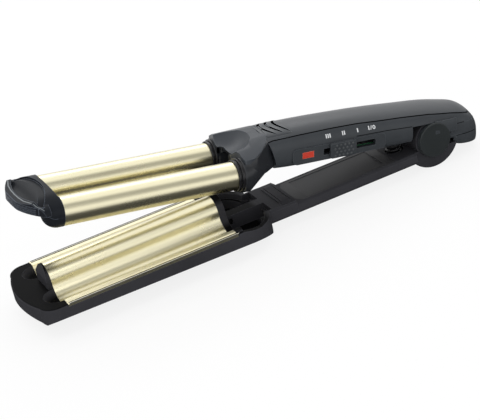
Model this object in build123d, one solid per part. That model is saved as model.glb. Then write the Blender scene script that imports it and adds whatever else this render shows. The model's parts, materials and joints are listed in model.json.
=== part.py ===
from build123d import *
import math
import os

os.makedirs("parts", exist_ok=True)

# Hair waver: a lower arm with a heated wave plate and an upper arm with two
# heated barrels, hinged at the rear.  Millimetres, +X from tip to hinge,
# -Y the side with the switch, +Z up.  Both arms are drawn about the hinge
# axis; the upper arm is drawn closed (parallel to the plate) and then opened.

# ---------------------------------------------------------------- dimensions
HINGE_Z = 20.0            # hinge axis above the table
OPEN_ANGLE = 10.6         # jaw opening at rest, degrees

# barrels
BARREL_R = 9.0
BARREL_WALL = 1.0
BARREL_PITCH = 38.38      # between the two barrel axes
BARREL_AXIS_Z = 3.7       # closed, above the hinge axis
BARREL_TIP_X = -259.2     # butts against the tip cap
BARREL_ROOT_X = -135.0    # hidden end inside the yoke
BORE_FIT = 0.02           # barrel in its cups, radial

# wave plate
PLATE_FRONT_X = -268.5
PLATE_REAR_X = -154.0
PLATE_HALF_W = 35.5
PLATE_T = 1.6
HUMP_R = 9.37
HUMP_AXIS_Z = 3.99
FLANGE_Z = 0.4
FLANGE_EDGE = 32.0        # where the flat lip starts
LIP_T = 1.4
CLAMP_HALF = 5.2
COLLAR_L = 4.5
COLLAR_PROUD = 0.3

# lower frame
NOSE_X = -289.5
TRAY_WALL = 2.6           # at the plate's rim
TRAY_WALL_Z_FRONT = -7.9
TRAY_WALL_Z_REAR = -10.4
BELLY_HALF = 13.0
TRAY_REAR_X = -143.0
NECK_X = -124.0
LEVER_HALF = 19.0
LEVER_EDGE = 16.6
LEVER_TOP_Z = -5.4
LEVER_REAR_X = -14.5
INLAY_HALF = 15.9
INLAY_T = 1.6
INLAY_REAR_X = -29.0
RIM_Z = -2.9
RECESS_FLOOR_Z = -12.5
WINDOW_WALL = 3.0
RIB_HALF = 3.8
RIB_TOP_Z = -2.9
DRUM_R = 20.0
DRUM_HALF = 15.7
HUB_R = 12.5

# handle
SHELL_T = 2.2
CHEEK_IN = 16.1           # inner faces of the handle's hinge cheeks
CHEEK_HUB_R = 11.5
DRUM_CLEAR = 0.6
PIN_R = 3.0
PIN_RUN_FIT = 0.05
CAP_R = 11.7
CAP_IN = 18.3
CAP_OUT = 19.8
BUSH_X = 27.0
BUSH_END_X = 39.8
BUSH_Z = 0.4
BUSH_BORE_R = 3.3
BUSH_NECK_R = 4.8
BUSH_FLANGE_R = 6.4
BUSH_RUN_FIT = 0.05

# switch panel
PANEL_X0 = -103.8
PANEL_X1 = -36.6
PANEL_Z0 = 1.6
PANEL_Z1 = 12.0
PANEL_FACE_Y = -18.5
PANEL_SEAT_Y = -15.4
PAD_X0 = -77.8
PAD_L = 19.0
PAD_Z0 = 1.9
PAD_Z1 = 11.9
PAD_T = 1.6
PAD_GAP = 0.3
SLIDE_STEP = 10.6         # between the marks III, II, I and I/O
STEM_HALF = 2.5
LENS_X0 = -97.0
LENS_L = 8.2
LENS_Z0 = 5.0
LENS_Z1 = 9.2

# screws
SCREW_R = 1.45
SCREW_HEAD_R = 2.7
SCREW_HEAD_H = 1.8
SCREW_FIT = 0.04          # thread in its hole, radial
SCREW_PLAY = 0.15         # shank in its passage, radial
HEAD_PLAY = 0.2           # head in its counterbore, radial
DRIVE_W = 3.6             # cross recess
DRIVE_SLOT = 0.8
PLATE_BOSS_X = (-252.0, -171.0)
PLATE_BOSS_R = 3.6
PLATE_BOSS_Z = -11.0
REAR_SCREW_X = 25.5
REAR_SCREW_Y = 10.0
REAR_SCREW_TOP = 11.0
REAR_HEAD_Z = -5.0

# yoke and hood
YOKE_FRONT_X = -141.0
YOKE_MIDDLE_X = -131.5
YOKE_REAR_X = -112.0
VISOR_FRONT_X = -145.8
RING_R = 10.7
NOTCH_HALF = 8.4
NOTCH_TOP_Z = 10.6
DISH_X = -141.8
DISH_Z = 36.4
DISH_R = 24.8

# tip cap
TIP_NOSE_X = -262.2
TIP_NOSE_R = 9.15
TIP_SPIGOT_L = 6.0
TIP_BORE_R = 5.4
LIP_BAND = 2.4
LIP_HALF = 26.2

# control board
BOARD_Z = 3.4
BOARD_T = 1.6
BOARD_SCREWS = ((-102.0, 9.5), (-42.0, 9.5))
BOARD_BOSS_R = 2.6

# rear end of the handle
BASE_Z = -7.9
REAR_Z1 = 7.6             # upper face of the rear shell

# opening spring
SPRING_X = -20.8
SPRING_R = 5.0
SPRING_WIRE_R = 0.65
SPRING_SEAT_Z = -9.0      # in the lever
SPRING_TOP_Z = 6.0        # seat in the handle, arm frame

# derived
BY = BARREL_PITCH / 2
GROOVE_R = BY - HUMP_R
BZ = BARREL_AXIS_Z
HZ = HUMP_AXIS_Z
TRAY_IN_HALF = PLATE_HALF_W - TRAY_WALL


# ---------------------------------------------------------------- helpers
def prism_x(pts, x0, x1):
    face = make_face(Polyline(*[(x0, y, z) for y, z in pts], close=True))
    return extrude(face, amount=x1 - x0, dir=(1, 0, 0))


def prism_y(pts, y0, y1):
    face = make_face(Polyline(*[(x, y0, z) for x, z in pts], close=True))
    return extrude(face, amount=y1 - y0, dir=(0, 1, 0))


def prism_z(pts, z0, z1):
    face = make_face(Polyline(*[(x, y, z0) for x, y in pts], close=True))
    return extrude(face, amount=z1 - z0, dir=(0, 0, 1))


def box(x0, x1, y0, y1, z0, z1):
    return Pos((x0 + x1) / 2, (y0 + y1) / 2, (z0 + z1) / 2) * Box(x1 - x0, y1 - y0, z1 - z0)


def rod_x(r, x0, x1, y=0.0, z=0.0):
    return Pos((x0 + x1) / 2, y, z) * Rot(0, 90, 0) * Cylinder(r, x1 - x0)


def rod_y(r, y0, y1, x=0.0, z=0.0):
    return Pos(x, (y0 + y1) / 2, z) * Rot(90, 0, 0) * Cylinder(r, y1 - y0)


def rod_z(r, z0, z1, x=0.0, y=0.0):
    return Pos(x, y, (z0 + z1) / 2) * Cylinder(r, z1 - z0)


def section_x(x, pts):
    return make_face(Polyline(*[(x, y, z) for y, z in pts], close=True))


def mirror_y(pts):
    """Half outline with y >= 0, closed by its mirror image."""
    return pts + [(-y, z) for y, z in reversed(pts) if y > 1e-6]


def lower_arm(shape):
    return Pos(0, 0, HINGE_Z) * shape


def upper_arm(shape):
    return Pos(0, 0, HINGE_Z) * Rot(0, OPEN_ANGLE, 0) * shape


def save(name, shape):
    export_step(shape, f"parts/{name}.step")
    print(name, "solids", len(shape.solids()), "volume", round(shape.volume, 1))


# ---------------------------------------------------------------- wave plate
def wave_edges(x, off):
    """Upper line of the plate section at x, moved outward by off."""
    hump_r = HUMP_R + off
    groove_r = GROOVE_R - off
    z_end = FLANGE_Z + off
    y_end = BY + math.sqrt(groove_r ** 2 - (HZ - z_end) ** 2)
    lines = []
    for s in (1, -1):
        hump = ThreePointArc((x, 0, HZ + hump_r),
                             (x, s * hump_r * math.sin(math.pi / 4), HZ + hump_r * math.cos(math.pi / 4)),
                             (x, s * hump_r, HZ))
        groove = ThreePointArc((x, s * hump_r, HZ), (x, s * BY, HZ - groove_r), (x, s * y_end, z_end))
        lines += [hump, groove]
    return lines, y_end, z_end


def wave_plate():
    x = PLATE_FRONT_X
    up, ye, ze = wave_edges(x, 0.0)
    low, yl, zl = wave_edges(x, -PLATE_T)
    edges = up + low
    for s in (1, -1):
        rim = [(ye, ze), (FLANGE_EDGE - 0.5, FLANGE_Z), (FLANGE_EDGE, 0.0), (PLATE_HALF_W, 0.0),
               (PLATE_HALF_W, -LIP_T), (yl + 0.3, -LIP_T), (yl, zl)]
        pts = [(x, s * y, z) for y, z in rim]
        edges += [Line(a, b) for a, b in zip(pts, pts[1:])]
    sheet = extrude(make_face(edges), amount=PLATE_REAR_X - PLATE_FRONT_X, dir=(1, 0, 0))
    z_under = HZ - GROOVE_R - PLATE_T
    for bx in PLATE_BOSS_X:
        for s in (1, -1):
            sheet += rod_z(PLATE_BOSS_R, PLATE_BOSS_Z, z_under + 0.6, bx, s * BY) - wave_void()
            sheet -= rod_z(SCREW_R + SCREW_FIT, PLATE_BOSS_Z - 1, z_under + 0.4, bx, s * BY)
    return sheet


def wave_void():
    """Everything above the mid thickness of the grooves."""
    void = None
    for s in (1, -1):
        rod = rod_x(GROOVE_R + PLATE_T / 2, PLATE_FRONT_X, PLATE_REAR_X, s * BY, HZ)
        void = rod if void is None else void + rod
    return void


def plate_front_cap():
    x1 = PLATE_FRONT_X
    pts = mirror_y([(0, HZ + HUMP_R)] + [(HUMP_R * math.sin(a), HZ + HUMP_R * math.cos(a))
                   for a in [math.radians(d) for d in range(10, 91, 10)]] + [(HUMP_R, 0.0)])
    cap = prism_x(pts, x1 - 3.2, x1)
    lean = prism_y([(x1 - 5, -1), (x1 - 3.2, -1), (x1 - 3.2, 6.5), (x1 - 0.9, 14.5), (x1 - 5, 14.5)], -12, 12)
    cap -= lean
    cap += rod_x(HUMP_R - PLATE_T - 0.03, x1 - 0.5, x1 + 4.0, 0, HZ) & box(x1 - 1, x1 + 5, -9, 9, HZ, 15)
    return cap


def plate_rear_collar():
    x = PLATE_REAR_X
    up, ye, ze = wave_edges(x, COLLAR_PROUD)
    edges = list(up)
    for s in (1, -1):
        rim = [(ye, ze), (FLANGE_EDGE - 0.5, ze), (FLANGE_EDGE, 0.3), (TRAY_IN_HALF, 0.3),
               (TRAY_IN_HALF, -6.5), (BELLY_HALF, RECESS_FLOOR_Z), (0, RECESS_FLOOR_Z)]
        pts = [(x, s * y, z) for y, z in rim]
        edges += [Line(a, b) for a, b in zip(pts, pts[1:])]
    return extrude(make_face(edges), amount=COLLAR_L, dir=(1, 0, 0))


def plate_clamp():
    """Aluminium block carrying the heater against the inside of the hump."""
    x0, x1 = PLATE_FRONT_X + 8, PLATE_REAR_X - 8
    r = HUMP_R - PLATE_T - BORE_FIT
    blk = rod_x(r, x0, x1, 0, HZ) & box(x0, x1, -CLAMP_HALF, CLAMP_HALF, -3.0, 14)
    return blk + box(x0, x1, -CLAMP_HALF, CLAMP_HALF, -3.0, HZ)


def plate_heater():
    return box(PLATE_FRONT_X + 14, PLATE_REAR_X - 14, -4.6, 4.6, -5.0, -3.0)


def heater_bed():
    """Insulating trough under the heater, standing on two ribs of the tray."""
    x0, x1 = PLATE_FRONT_X + 10, PLATE_REAR_X - 10
    bed = box(x0, x1, -6.4, 6.4, -9.0, -5.0)
    for s in (1, -1):
        bed += box(x0, x1, min(s * 5.3, s * 6.4), max(s * 5.3, s * 6.4), -5.0, -2.0)
    return bed


def thermostat():
    body = rod_z(3.0, -9.0, -6.4, -211.0, BY - 8.2)
    return body + box(-216.5, -205.5, BY - 9.6, BY - 6.8, -9.0, -8.2)


# ---------------------------------------------------------------- lower frame
def tray_section(x, wall_z):
    return Polyline(*[(x, y, z) for y, z in mirror_y([(0, 0), (PLATE_HALF_W, 0), (PLATE_HALF_W, wall_z),
                                                     (BELLY_HALF, -HINGE_Z), (0, -HINGE_Z)])], close=True)


def tray_plan(z0, z1, grow=0.0):
    """Outline of tray and neck seen from above, moved outward by grow."""
    w = PLATE_HALF_W + grow
    n = LEVER_HALF + grow
    xr = TRAY_REAR_X + grow
    mx = TRAY_REAR_X + 0.558 * (NECK_X - TRAY_REAR_X) + grow * 0.7
    my = LEVER_HALF + 0.679 * (PLATE_HALF_W - LEVER_HALF) + grow * 0.7
    top = [Line((-262, w), (xr, w)),
           ThreePointArc((xr, w), (mx, my), (NECK_X + grow, n)),
           Line((NECK_X + grow, n), (-104, n))]
    bottom = [Line((-104, -n), (NECK_X + grow, -n)),
              ThreePointArc((NECK_X + grow, -n), (mx, -my), (xr, -w)),
              Line((xr, -w), (-262, -w))]
    nose = [Line((-262, w), (-275.0 - grow, w)),
            ThreePointArc((-275.0 - grow, w), (-281.4 - grow, w - 2.9), (-284.4 - grow, w - 9.5)),
            ThreePointArc((-284.4 - grow, w - 9.5), (NOSE_X - grow, 0), (-284.4 - grow, 9.5 - w)),
            ThreePointArc((-284.4 - grow, 9.5 - w), (-281.4 - grow, 2.9 - w), (-275.0 - grow, -w)),
            Line((-275.0 - grow, -w), (-262, -w))]
    face = make_face(top + bottom + nose + [Line((-104, n), (-104, -n))])
    return Pos(0, 0, z0) * extrude(face, amount=z1 - z0, dir=(0, 0, 1))


def tray_inner(x0, x1):
    """Room inside the tray walls, under the plate."""
    w, n = TRAY_IN_HALF, BELLY_HALF - 1.5
    a = [(x0, y, z) for y, z in mirror_y([(0, 2), (w, 2), (w, -6.2), (n, -16.8), (0, -16.8)])]
    b = [(x1, y, z) for y, z in mirror_y([(0, 2), (w, 2), (w, -8.4), (n, -17.6), (0, -17.6)])]
    return loft([make_face(Polyline(*a, close=True)), make_face(Polyline(*b, close=True))], ruled=True)


def lever_section(x, half=LEVER_HALF):
    return [(0, LEVER_TOP_Z + 0.2), (LEVER_EDGE, LEVER_TOP_Z + 0.2), (half - 0.9, LEVER_TOP_Z - 1.0),
            (half, -10.4), (half - 4.0, -13.6), (0, -15.4)]


def lower_frame():
    hull = loft([make_face(tray_section(NOSE_X - 1, TRAY_WALL_Z_FRONT)),
                 make_face(tray_section(-104.0, TRAY_WALL_Z_REAR))], ruled=True)
    hull &= tray_plan(-HINGE_Z - 1, 1)
    hull = fillet([e for e in hull.edges() if abs(e.center().Z) < 0.01 and e.center().X < -276], 1.2)
    side = [(NOSE_X - 1, 0), (-151.0, 0), (-144.0, -1.4), (-137.0, RIM_Z), (-104.0, RIM_Z),
            (-104.0, -14.6), (-124.0, -15.4), (-150.0, -HINGE_Z), (-259.0, -HINGE_Z),
            (NOSE_X - 1, TRAY_WALL_Z_FRONT + 0.3)]
    hull &= prism_y(side, -40, 40)
    hull -= box(NECK_X, -100, -40, 40, -25, 5)
    lever = prism_x(mirror_y(lever_section(0)), NECK_X - 0.5, LEVER_REAR_X)
    neck = prism_x(mirror_y([(0, RIM_Z), (17.4, RIM_Z), (LEVER_HALF - 0.2, -4.4), (LEVER_HALF, -10.4), (0, -11)]),
                   NECK_X - 0.5, -104.0)
    drum = rod_y(DRUM_R, -DRUM_HALF, DRUM_HALF) & \
        prism_y([(-21, LEVER_TOP_Z), (0, LEVER_TOP_Z), (0, -8.5), (21, -8.5), (21, -21), (-21, -21)], -20, 20)
    drum += rod_y(HUB_R, -DRUM_HALF, DRUM_HALF)
    frame = hull + lever + neck + drum

    # plate opening and the room below it
    frame -= tray_inner(PLATE_FRONT_X + 1.2, PLATE_REAR_X + COLLAR_L)
    frame -= box(PLATE_FRONT_X, PLATE_REAR_X, -PLATE_HALF_W - 1, PLATE_HALF_W + 1, -LIP_T, 1)
    frame -= box(PLATE_FRONT_X, PLATE_FRONT_X + 3, -PLATE_HALF_W + 5.9, PLATE_HALF_W - 5.9, -7.5, 1)
    for s in (1, -1):
        frame -= Pos(PLATE_FRONT_X - 1.0, s * BY, HZ) * Sphere(GROOVE_R)
        frame -= rod_x(GROOVE_R, PLATE_FRONT_X - 1.0, PLATE_FRONT_X + 1, s * BY, HZ)
    frame -= rod_x(HUMP_R - PLATE_T, PLATE_FRONT_X - 1, PLATE_FRONT_X + 2, 0, HZ) & \
        box(-290, -260, -12, 12, 0.0, 20)

    # recess behind the plate: two windows beside the middle rib
    x0 = PLATE_REAR_X + COLLAR_L
    inner = tray_plan(RECESS_FLOOR_Z, 3, -WINDOW_WALL) & box(x0 - 0.1, NECK_X + 3.0, -40, 40, -13, 3)
    rib = box(x0 - 1, NECK_X + 4, -RIB_HALF, RIB_HALF, -14, RIB_TOP_Z)
    step = tray_plan(-6.8, -6.0 + 9, -WINDOW_WALL - 0.01) & box(x0 - 0.1, NECK_X + 3.0, -40, 40, -6.8, 3)
    pocket = tray_plan(RECESS_FLOOR_Z, 3, -WINDOW_WALL - 2.2) & box(x0 - 0.1, NECK_X + 1.0, -40, 40, -13, 3)
    frame -= (step + pocket) - rib
    frame -= box(x0 - 2, x0 + 6, -RIB_HALF - 0.2, RIB_HALF + 0.2, -9, -5)

    # neck cover seat, inlay seat, wiring channel, spring pockets
    frame -= box(-114.0, -103.9, -17.6, 17.6, -5.2, 0)
    frame -= inlay_shape(INLAY_T, 0.0)
    frame -= box(-118.0, -30.0, -5.5, 5.5, -11.0, -5.0) & box(-118.0, -30.0, -6, 6, -11.0, LEVER_TOP_Z - INLAY_T)
    frame -= rod_z(SPRING_R + SPRING_WIRE_R + 0.5, SPRING_SEAT_Z, 0, SPRING_X)

    # screw posts, heater ribs, hinge bore
    for bx in PLATE_BOSS_X:
        for s in (1, -1):
            frame += rod_z(4.6, -17.2, PLATE_BOSS_Z, bx, s * BY) & hull
        frame += box(bx - 1.2, bx + 1.2, -12, 12, -18.5, -9.0)
        for s in (1, -1):
            frame -= rod_z(SCREW_R + SCREW_PLAY, -21, PLATE_BOSS_Z + 1, bx, s * BY)
            frame -= rod_z(SCREW_HEAD_R + HEAD_PLAY, -21, PLATE_BOSS_Z - 2.4, bx, s * BY)
    frame += box(-216.5, -205.5, BY - 11.0, BY - 3.0, -18.0, -9.0) & tray_inner(-260, -160)
    frame -= rod_y(PIN_R + PIN_RUN_FIT, -20, 20)
    return frame


def inlay_shape(depth, gap):
    """Grip inlay of the lever, rounded at its front end."""
    h = INLAY_HALF - gap
    outline = [ThreePointArc((-98.5, -h), (-103.4, 0), (-98.5, h)), Line((-98.5, h), (INLAY_REAR_X, h)),
               Line((INLAY_REAR_X, h), (INLAY_REAR_X, -h)), Line((INLAY_REAR_X, -h), (-98.5, -h))]
    top = LEVER_TOP_Z + 0.4 if gap == 0.0 else LEVER_TOP_Z
    return Pos(0, 0, LEVER_TOP_Z - depth) * extrude(make_face(outline), amount=top - LEVER_TOP_Z + depth,
                                                    dir=(0, 0, 1))


def lever_inlay():
    pad = inlay_shape(INLAY_T, 0.05)
    pad -= Pos(0, 0, LEVER_TOP_Z + 179.2) * Rot(0, 90, 0) * Cylinder(180.0, 300) & \
        box(-94, -36, -13, 13, -8, 0)
    return pad


def neck_cover():
    pts = mirror_y([(0, -2.2), (12.0, -2.3), (17.0, -3.2), (17.6, -4.0), (17.6, -5.2), (0, -5.2)])
    bar = prism_x(pts, -114.0, -104.0)
    for x in (-112.4, -106.4):
        bar -= box(x - 0.35, x + 0.35, -20, 20, -2.9, 0)
    return bar


def cross_drive(x, y, z):
    """Cross recess in a screw head that faces down."""
    slot = Box(DRIVE_W, DRIVE_SLOT, 1.2) + Box(DRIVE_SLOT, DRIVE_W, 1.2)
    return Pos(x, y, z) * slot


def plate_screws():
    screws = []
    for bx in PLATE_BOSS_X:
        for s in (1, -1):
            z = PLATE_BOSS_Z - 2.4
            screws.append(rod_z(SCREW_R, z - 0.5, PLATE_BOSS_Z + 2.6, bx, s * BY)
                          + rod_z(SCREW_HEAD_R, z - SCREW_HEAD_H, z, bx, s * BY)
                          - cross_drive(bx, s * BY, z - SCREW_HEAD_H))
    return Compound(screws)


# ---------------------------------------------------------------- handle shells
def handle_ring(x, w, zb, zt, t=0.0):
    w, zb, zt = w - t, zb + t, zt - t
    h = zt - zb
    half = [(0, zb), (0.55 * w, zb + 0.004 * h), (0.84 * w, zb + 0.045 * h), (0.975 * w, zb + 0.19 * h),
            (w, zb + 0.40 * h), (0.955 * w, zb + 0.62 * h), (0.79 * w, zb + 0.825 * h),
            (0.43 * w, zb + 0.96 * h), (0, zt)]
    pts = [(x, y, z) for y, z in half] + [(x, -y, z) for y, z in reversed(half[1:-1])]
    return Face(Wire([Spline(*pts, periodic=True)]))


STATIONS = [(-124.0, 18.4, 2.6, 23.4), (-112.0, 18.1, 0.2, 24.3), (-95.0, 18.0, -0.5, 24.8),
            (-65.0, 18.1, -0.5, 24.3), (-35.0, 18.2, -0.5, 23.0), (-12.0, 18.25, -0.7, 21.3),
            (8.0, 18.2, -3.0, 19.6), (20.0, 17.6, -8.2, 17.8)]
TAIL = [(28.0, 16.9, -10.6, 15.6), (34.5, 14.1, -10.8, 10.4), (38.4, 9.0, -10.2, 5.4), (40.6, 4.2, -9.6, 1.4)]


def handle_outer():
    rings = [handle_ring(*s) for s in STATIONS + TAIL]
    return loft(rings) & box(-130, 60, -40, 40, BASE_Z, 60)


def handle_inner():
    rings = [handle_ring(*s, t=SHELL_T) for s in STATIONS]
    rings[0] = handle_ring(-125.0, 18.4, 2.6, 23.4, t=SHELL_T)
    return loft(rings)


SEAM = [(-150.0, 14.0), (-139.0, 14.6), (-131.0, 15.6), (-122.0, 18.4), (-116.0, 19.6), (-97.0, 20.0),
        (-76.0, 20.2), (-55.0, 19.9), (-40.0, 19.0), (-24.0, 18.2), (-2.0, 16.7), (22.0, 13.6), (48.0, 7.4)]


def above_seam(grow=0.0):
    """Everything above the joint between the top shell and the body."""
    curve = Spline(*[(x, -45, z + grow) for x, z in SEAM])
    a, b = SEAM[0], SEAM[-1]
    edges = [curve, Line((b[0], -45, b[1] + grow), (b[0], -45, 60)), Line((b[0], -45, 60), (a[0], -45, 60)),
             Line((a[0], -45, 60), (a[0], -45, a[1] + grow))]
    return extrude(make_face(edges), amount=90, dir=(0, 1, 0))


def front_cut():
    """Everything in front of the slanted joint between handle and yoke."""
    return prism_y([(-180, -40), (-113.2, -40), (-115.3, 5.7), (-119.8, 21.0), (-131.0, 60), (-180, 60)], -60, 60)


def cheek_room():
    """Clearance inside the handle for the drum and hub of the lower arm."""
    room = rod_y(DRUM_R + DRUM_CLEAR, -CHEEK_IN, CHEEK_IN) & box(-24, 24, -20, 20, -24, -3.0)
    room += rod_y(HUB_R + DRUM_CLEAR, -CHEEK_IN, CHEEK_IN)
    low = box(-21.0, -4.0, -CHEEK_IN, CHEEK_IN, -24, 6.0)
    return room + low


def rear_region(z0, z1):
    x0 = 12.6 if z0 >= 0 else 17.6
    return box(x0, 60, -40, 40, z0, z1) - rod_y(CAP_R + 0.4, -40, 40)


def bush_bore():
    return rod_x(BUSH_NECK_R + BUSH_RUN_FIT, BUSH_X, 60, 0, BUSH_Z) + \
        rod_x(BUSH_FLANGE_R + BUSH_RUN_FIT, BUSH_X - 4.0, BUSH_X + 4.0, 0, BUSH_Z) + \
        rod_x(4.0, 18.0, BUSH_X, 0, BUSH_Z)


def rear_screw_holes():
    cut = None
    for s in (1, -1):
        a = rod_z(SCREW_R + SCREW_FIT, -20, REAR_SCREW_TOP + 0.6, REAR_SCREW_X, s * REAR_SCREW_Y) + \
            rod_z(SCREW_HEAD_R + HEAD_PLAY, -20, REAR_HEAD_Z, REAR_SCREW_X, s * REAR_SCREW_Y)
        cut = a if cut is None else cut + a
    return cut


def handle_block(outer):
    """The closed rear block and the hollow front of the handle as one solid."""
    inner = handle_inner() & box(-130, 21.2, -40, 40, -40, 40)
    block = outer - front_cut() - inner
    return block - cheek_room()


def board_bosses():
    out = None
    for x in (-102.0, -42.0):
        for y in (-9.5, 9.5):
            b = rod_z(BOARD_BOSS_R, 0.6, BOARD_Z, x, y)
            out = b if out is None else out + b
    return out


def handle_body(block, outer):
    body = block - above_seam() - rear_region(0, REAR_Z1) - rear_region(-40, 0)
    # hinge cheeks: only the hub ring stays below the side line
    below = prism_y([(-16.2, -30), (-16.2, 11.4), (16.2, 11.4), (16.2, -30)], -40, 40)
    below -= rod_y(CHEEK_HUB_R, -40, 40)
    below -= box(10.0, 17.0, -40, 40, -1.6, 12)
    body -= below
    body -= rod_y(2.0, -40, -CHEEK_IN, 14.2, 3.0)
    # flats for the hinge caps
    for s in (1, -1):
        y0, y1 = sorted((s * CAP_IN, s * 40))
        body -= rod_y(CAP_R + 0.35, y0, y1)
    body += (rod_y(CHEEK_HUB_R, -CAP_IN, -CHEEK_IN) + rod_y(CHEEK_HUB_R, CHEEK_IN, CAP_IN))
    # switch panel frame
    body += box(PANEL_X0 - 3, PANEL_X1 + 3, -16.6, -14.0, PANEL_Z0 - 1.5, PANEL_Z1 + 1.6) & outer
    body -= panel_outline(PANEL_SEAT_Y, -24.0, 0.0)
    body -= box(LENS_X0 - 0.6, PAD_X0 + PAD_L + 2 * SLIDE_STEP, -20, -12, 4.6, 9.6)
    # board bosses, spring seats
    body += board_bosses()
    for x, y in BOARD_SCREWS:
        body -= rod_z(SCREW_R + SCREW_FIT, 0.9, 8, x, y)
    body -= box(SPRING_X - 8.5, SPRING_X + 8.0, -7.6, 7.6, -5, SPRING_TOP_Z)
    body += box(SPRING_X - 8.0, SPRING_X + 4.8, -17.0, 17.0, SPRING_TOP_Z, SPRING_TOP_Z + 1.8) - cheek_room()
    body -= rod_y(PIN_R, -20, 20)
    body -= bush_bore() + rear_screw_holes()
    return body


def panel_outline(y0, y1, gap):
    """Rounded outline of the switch panel between two Y positions."""
    x0, x1, z0, z1 = PANEL_X0 + gap, PANEL_X1 - gap, PANEL_Z0 + gap, PANEL_Z1 - gap
    slab = box(x0, x1, min(y0, y1), max(y0, y1), z0, z1)
    return fillet(slab.edges().filter_by(Axis.Y), 3.2)


def switch_panel():
    panel = panel_outline(PANEL_SEAT_Y, PANEL_FACE_Y, 0.05)
    x0 = PAD_X0 + PAD_L / 2 - SLIDE_STEP - STEM_HALF - 0.5
    x1 = PAD_X0 + PAD_L / 2 + 2 * SLIDE_STEP + STEM_HALF + 0.5
    slot = box(x0, x1, -20, -14, 4.9, 9.1)
    panel -= fillet(slot.edges().filter_by(Axis.Y), 0.8)
    panel -= box(LENS_X0, LENS_X0 + LENS_L, -20, -14, LENS_Z0, LENS_Z1)
    return panel


def indicator_lens():
    lens = box(LENS_X0 + 0.05, LENS_X0 + LENS_L - 0.05, PANEL_FACE_Y + 0.1, -14.6, LENS_Z0 + 0.05, LENS_Z1 - 0.05)
    flange = box(LENS_X0 - 0.5, LENS_X0 + LENS_L + 0.5, PANEL_SEAT_Y, -14.6, LENS_Z0 - 0.3, LENS_Z1 + 0.3)
    return lens + flange


def slide_pad():
    y0 = PANEL_FACE_Y - PAD_GAP
    pad = box(PAD_X0, PAD_X0 + PAD_L, y0 - PAD_T, y0, PAD_Z0, PAD_Z1)
    pad = fillet(pad.edges().filter_by(Axis.Y), 1.6)
    return fillet(pad.faces().sort_by(Axis.Y)[0].edges(), 0.6)


def slide_carrier():
    xc = PAD_X0 + PAD_L / 2
    y0 = PANEL_FACE_Y - PAD_GAP
    stem = box(xc - STEM_HALF, xc + STEM_HALF, y0, -14.4, 5.3, 8.7)
    return stem + box(xc - 1.8, xc + 1.8, -14.5, -10.8, 6.15, 7.85)


def slide_switch():
    xc = PAD_X0 + PAD_L / 2
    body = box(xc - SLIDE_STEP - 5.5, xc + 2 * SLIDE_STEP + 5.5, -13.4, -6.5, BOARD_Z + BOARD_T, 10.6)
    return body - box(xc - SLIDE_STEP - 2.3, xc + 2 * SLIDE_STEP + 2.3, -14, -10.4, 5.9, 8.1)


def control_board():
    board = box(-105.5, -38.5, -13.6, 13.6, BOARD_Z, BOARD_Z + BOARD_T)
    for x, y in BOARD_SCREWS:
        board -= rod_z(SCREW_R + 0.15, 0, 8, x, y)
    return board


def board_screws():
    z = BOARD_Z + BOARD_T
    return Compound([rod_z(SCREW_R, 1.2, z, x, y) + rod_z(2.4, z, z + 1.5, x, y)
                     - Pos(x, y, z + 1.5) * Box(3.2, 0.7, 1.0) for x, y in BOARD_SCREWS])


def indicator_led():
    z = BOARD_Z + BOARD_T
    return box(-95.0, -91.0, -12.6, -9.0, z, 9.0) + \
        Pos(-93.0, -12.6, 7.1) * Rot(90, 0, 0) * Cylinder(1.6, 1.6)


def terminal_block():
    z = BOARD_Z + BOARD_T
    block = box(-60.0, -46.0, -3.0, 8.5, z, 14.0)
    for y in (0.0, 5.5):
        block -= rod_z(1.7, 9.0, 15, -53.0, y)
        block -= rod_x(1.5, -61, -56, y, 7.5)
    return block


def thermal_fuse():
    z = BOARD_Z + BOARD_T
    tube = rod_x(2.2, -100.0, -84.0, 4.5, z + 1.8) & box(-101, -83, 0, 9, z, 12)
    return tube


def handle_top(outer):
    inner = handle_inner() & box(-130, 21.2, -40, 40, -40, 40)
    top = (outer - inner - front_cut()) & above_seam()
    top += hood()
    # three curved grip slots over the neck
    for i in range(3):
        x = -113.4 + 4.1 * i
        path = ThreePointArc((x - 2.9, -12.5, 21.4), (x, 0, 24.9), (x - 2.9, 12.5, 21.4))
        slot = sweep(Plane(origin=(x - 2.9, -12.5, 21.4), z_dir=path % 0) * Circle(0.75), path)
        top -= slot
    top -= cheek_room()
    top -= bush_bore() + rear_screw_holes()
    return top


def hood_plan():
    """Plan outline of the hood that runs forward over the yoke."""
    pts = [(-112.0, 5.5), (-116.5, 8.5), (-121.3, 16.0), (-127.0, 21.4), (-133.2, 25.4), (-137.6, 26.8),
           (-140.2, 25.6), (YOKE_FRONT_X, 18.0), (YOKE_FRONT_X, 0)]
    return prism_z(pts + [(x, -y) for x, y in reversed(pts) if y > 0], 5, 40)


def hood():
    """Graphite skin over the yoke, from the handle down to a point on each side."""
    outer = loft([section_x(x, mirror_y(p)) for x, p in HOOD_TOP], ruled=True)
    skin = outer & hood_plan()
    skin -= yoke_core()
    skin -= dish()
    for s in (1, -1):
        skin -= rod_x(BARREL_R + 0.5, -150, -120, s * BY, BZ)
    skin -= prism_y([(-118.4, 5), (-116.2, 5), (-119.8, 21.0), (-131.0, 60), (-90, 60), (-90, 5)], -60, 60) & \
        box(-120, -90, -50, 50, 0, 60)
    return skin


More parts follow.
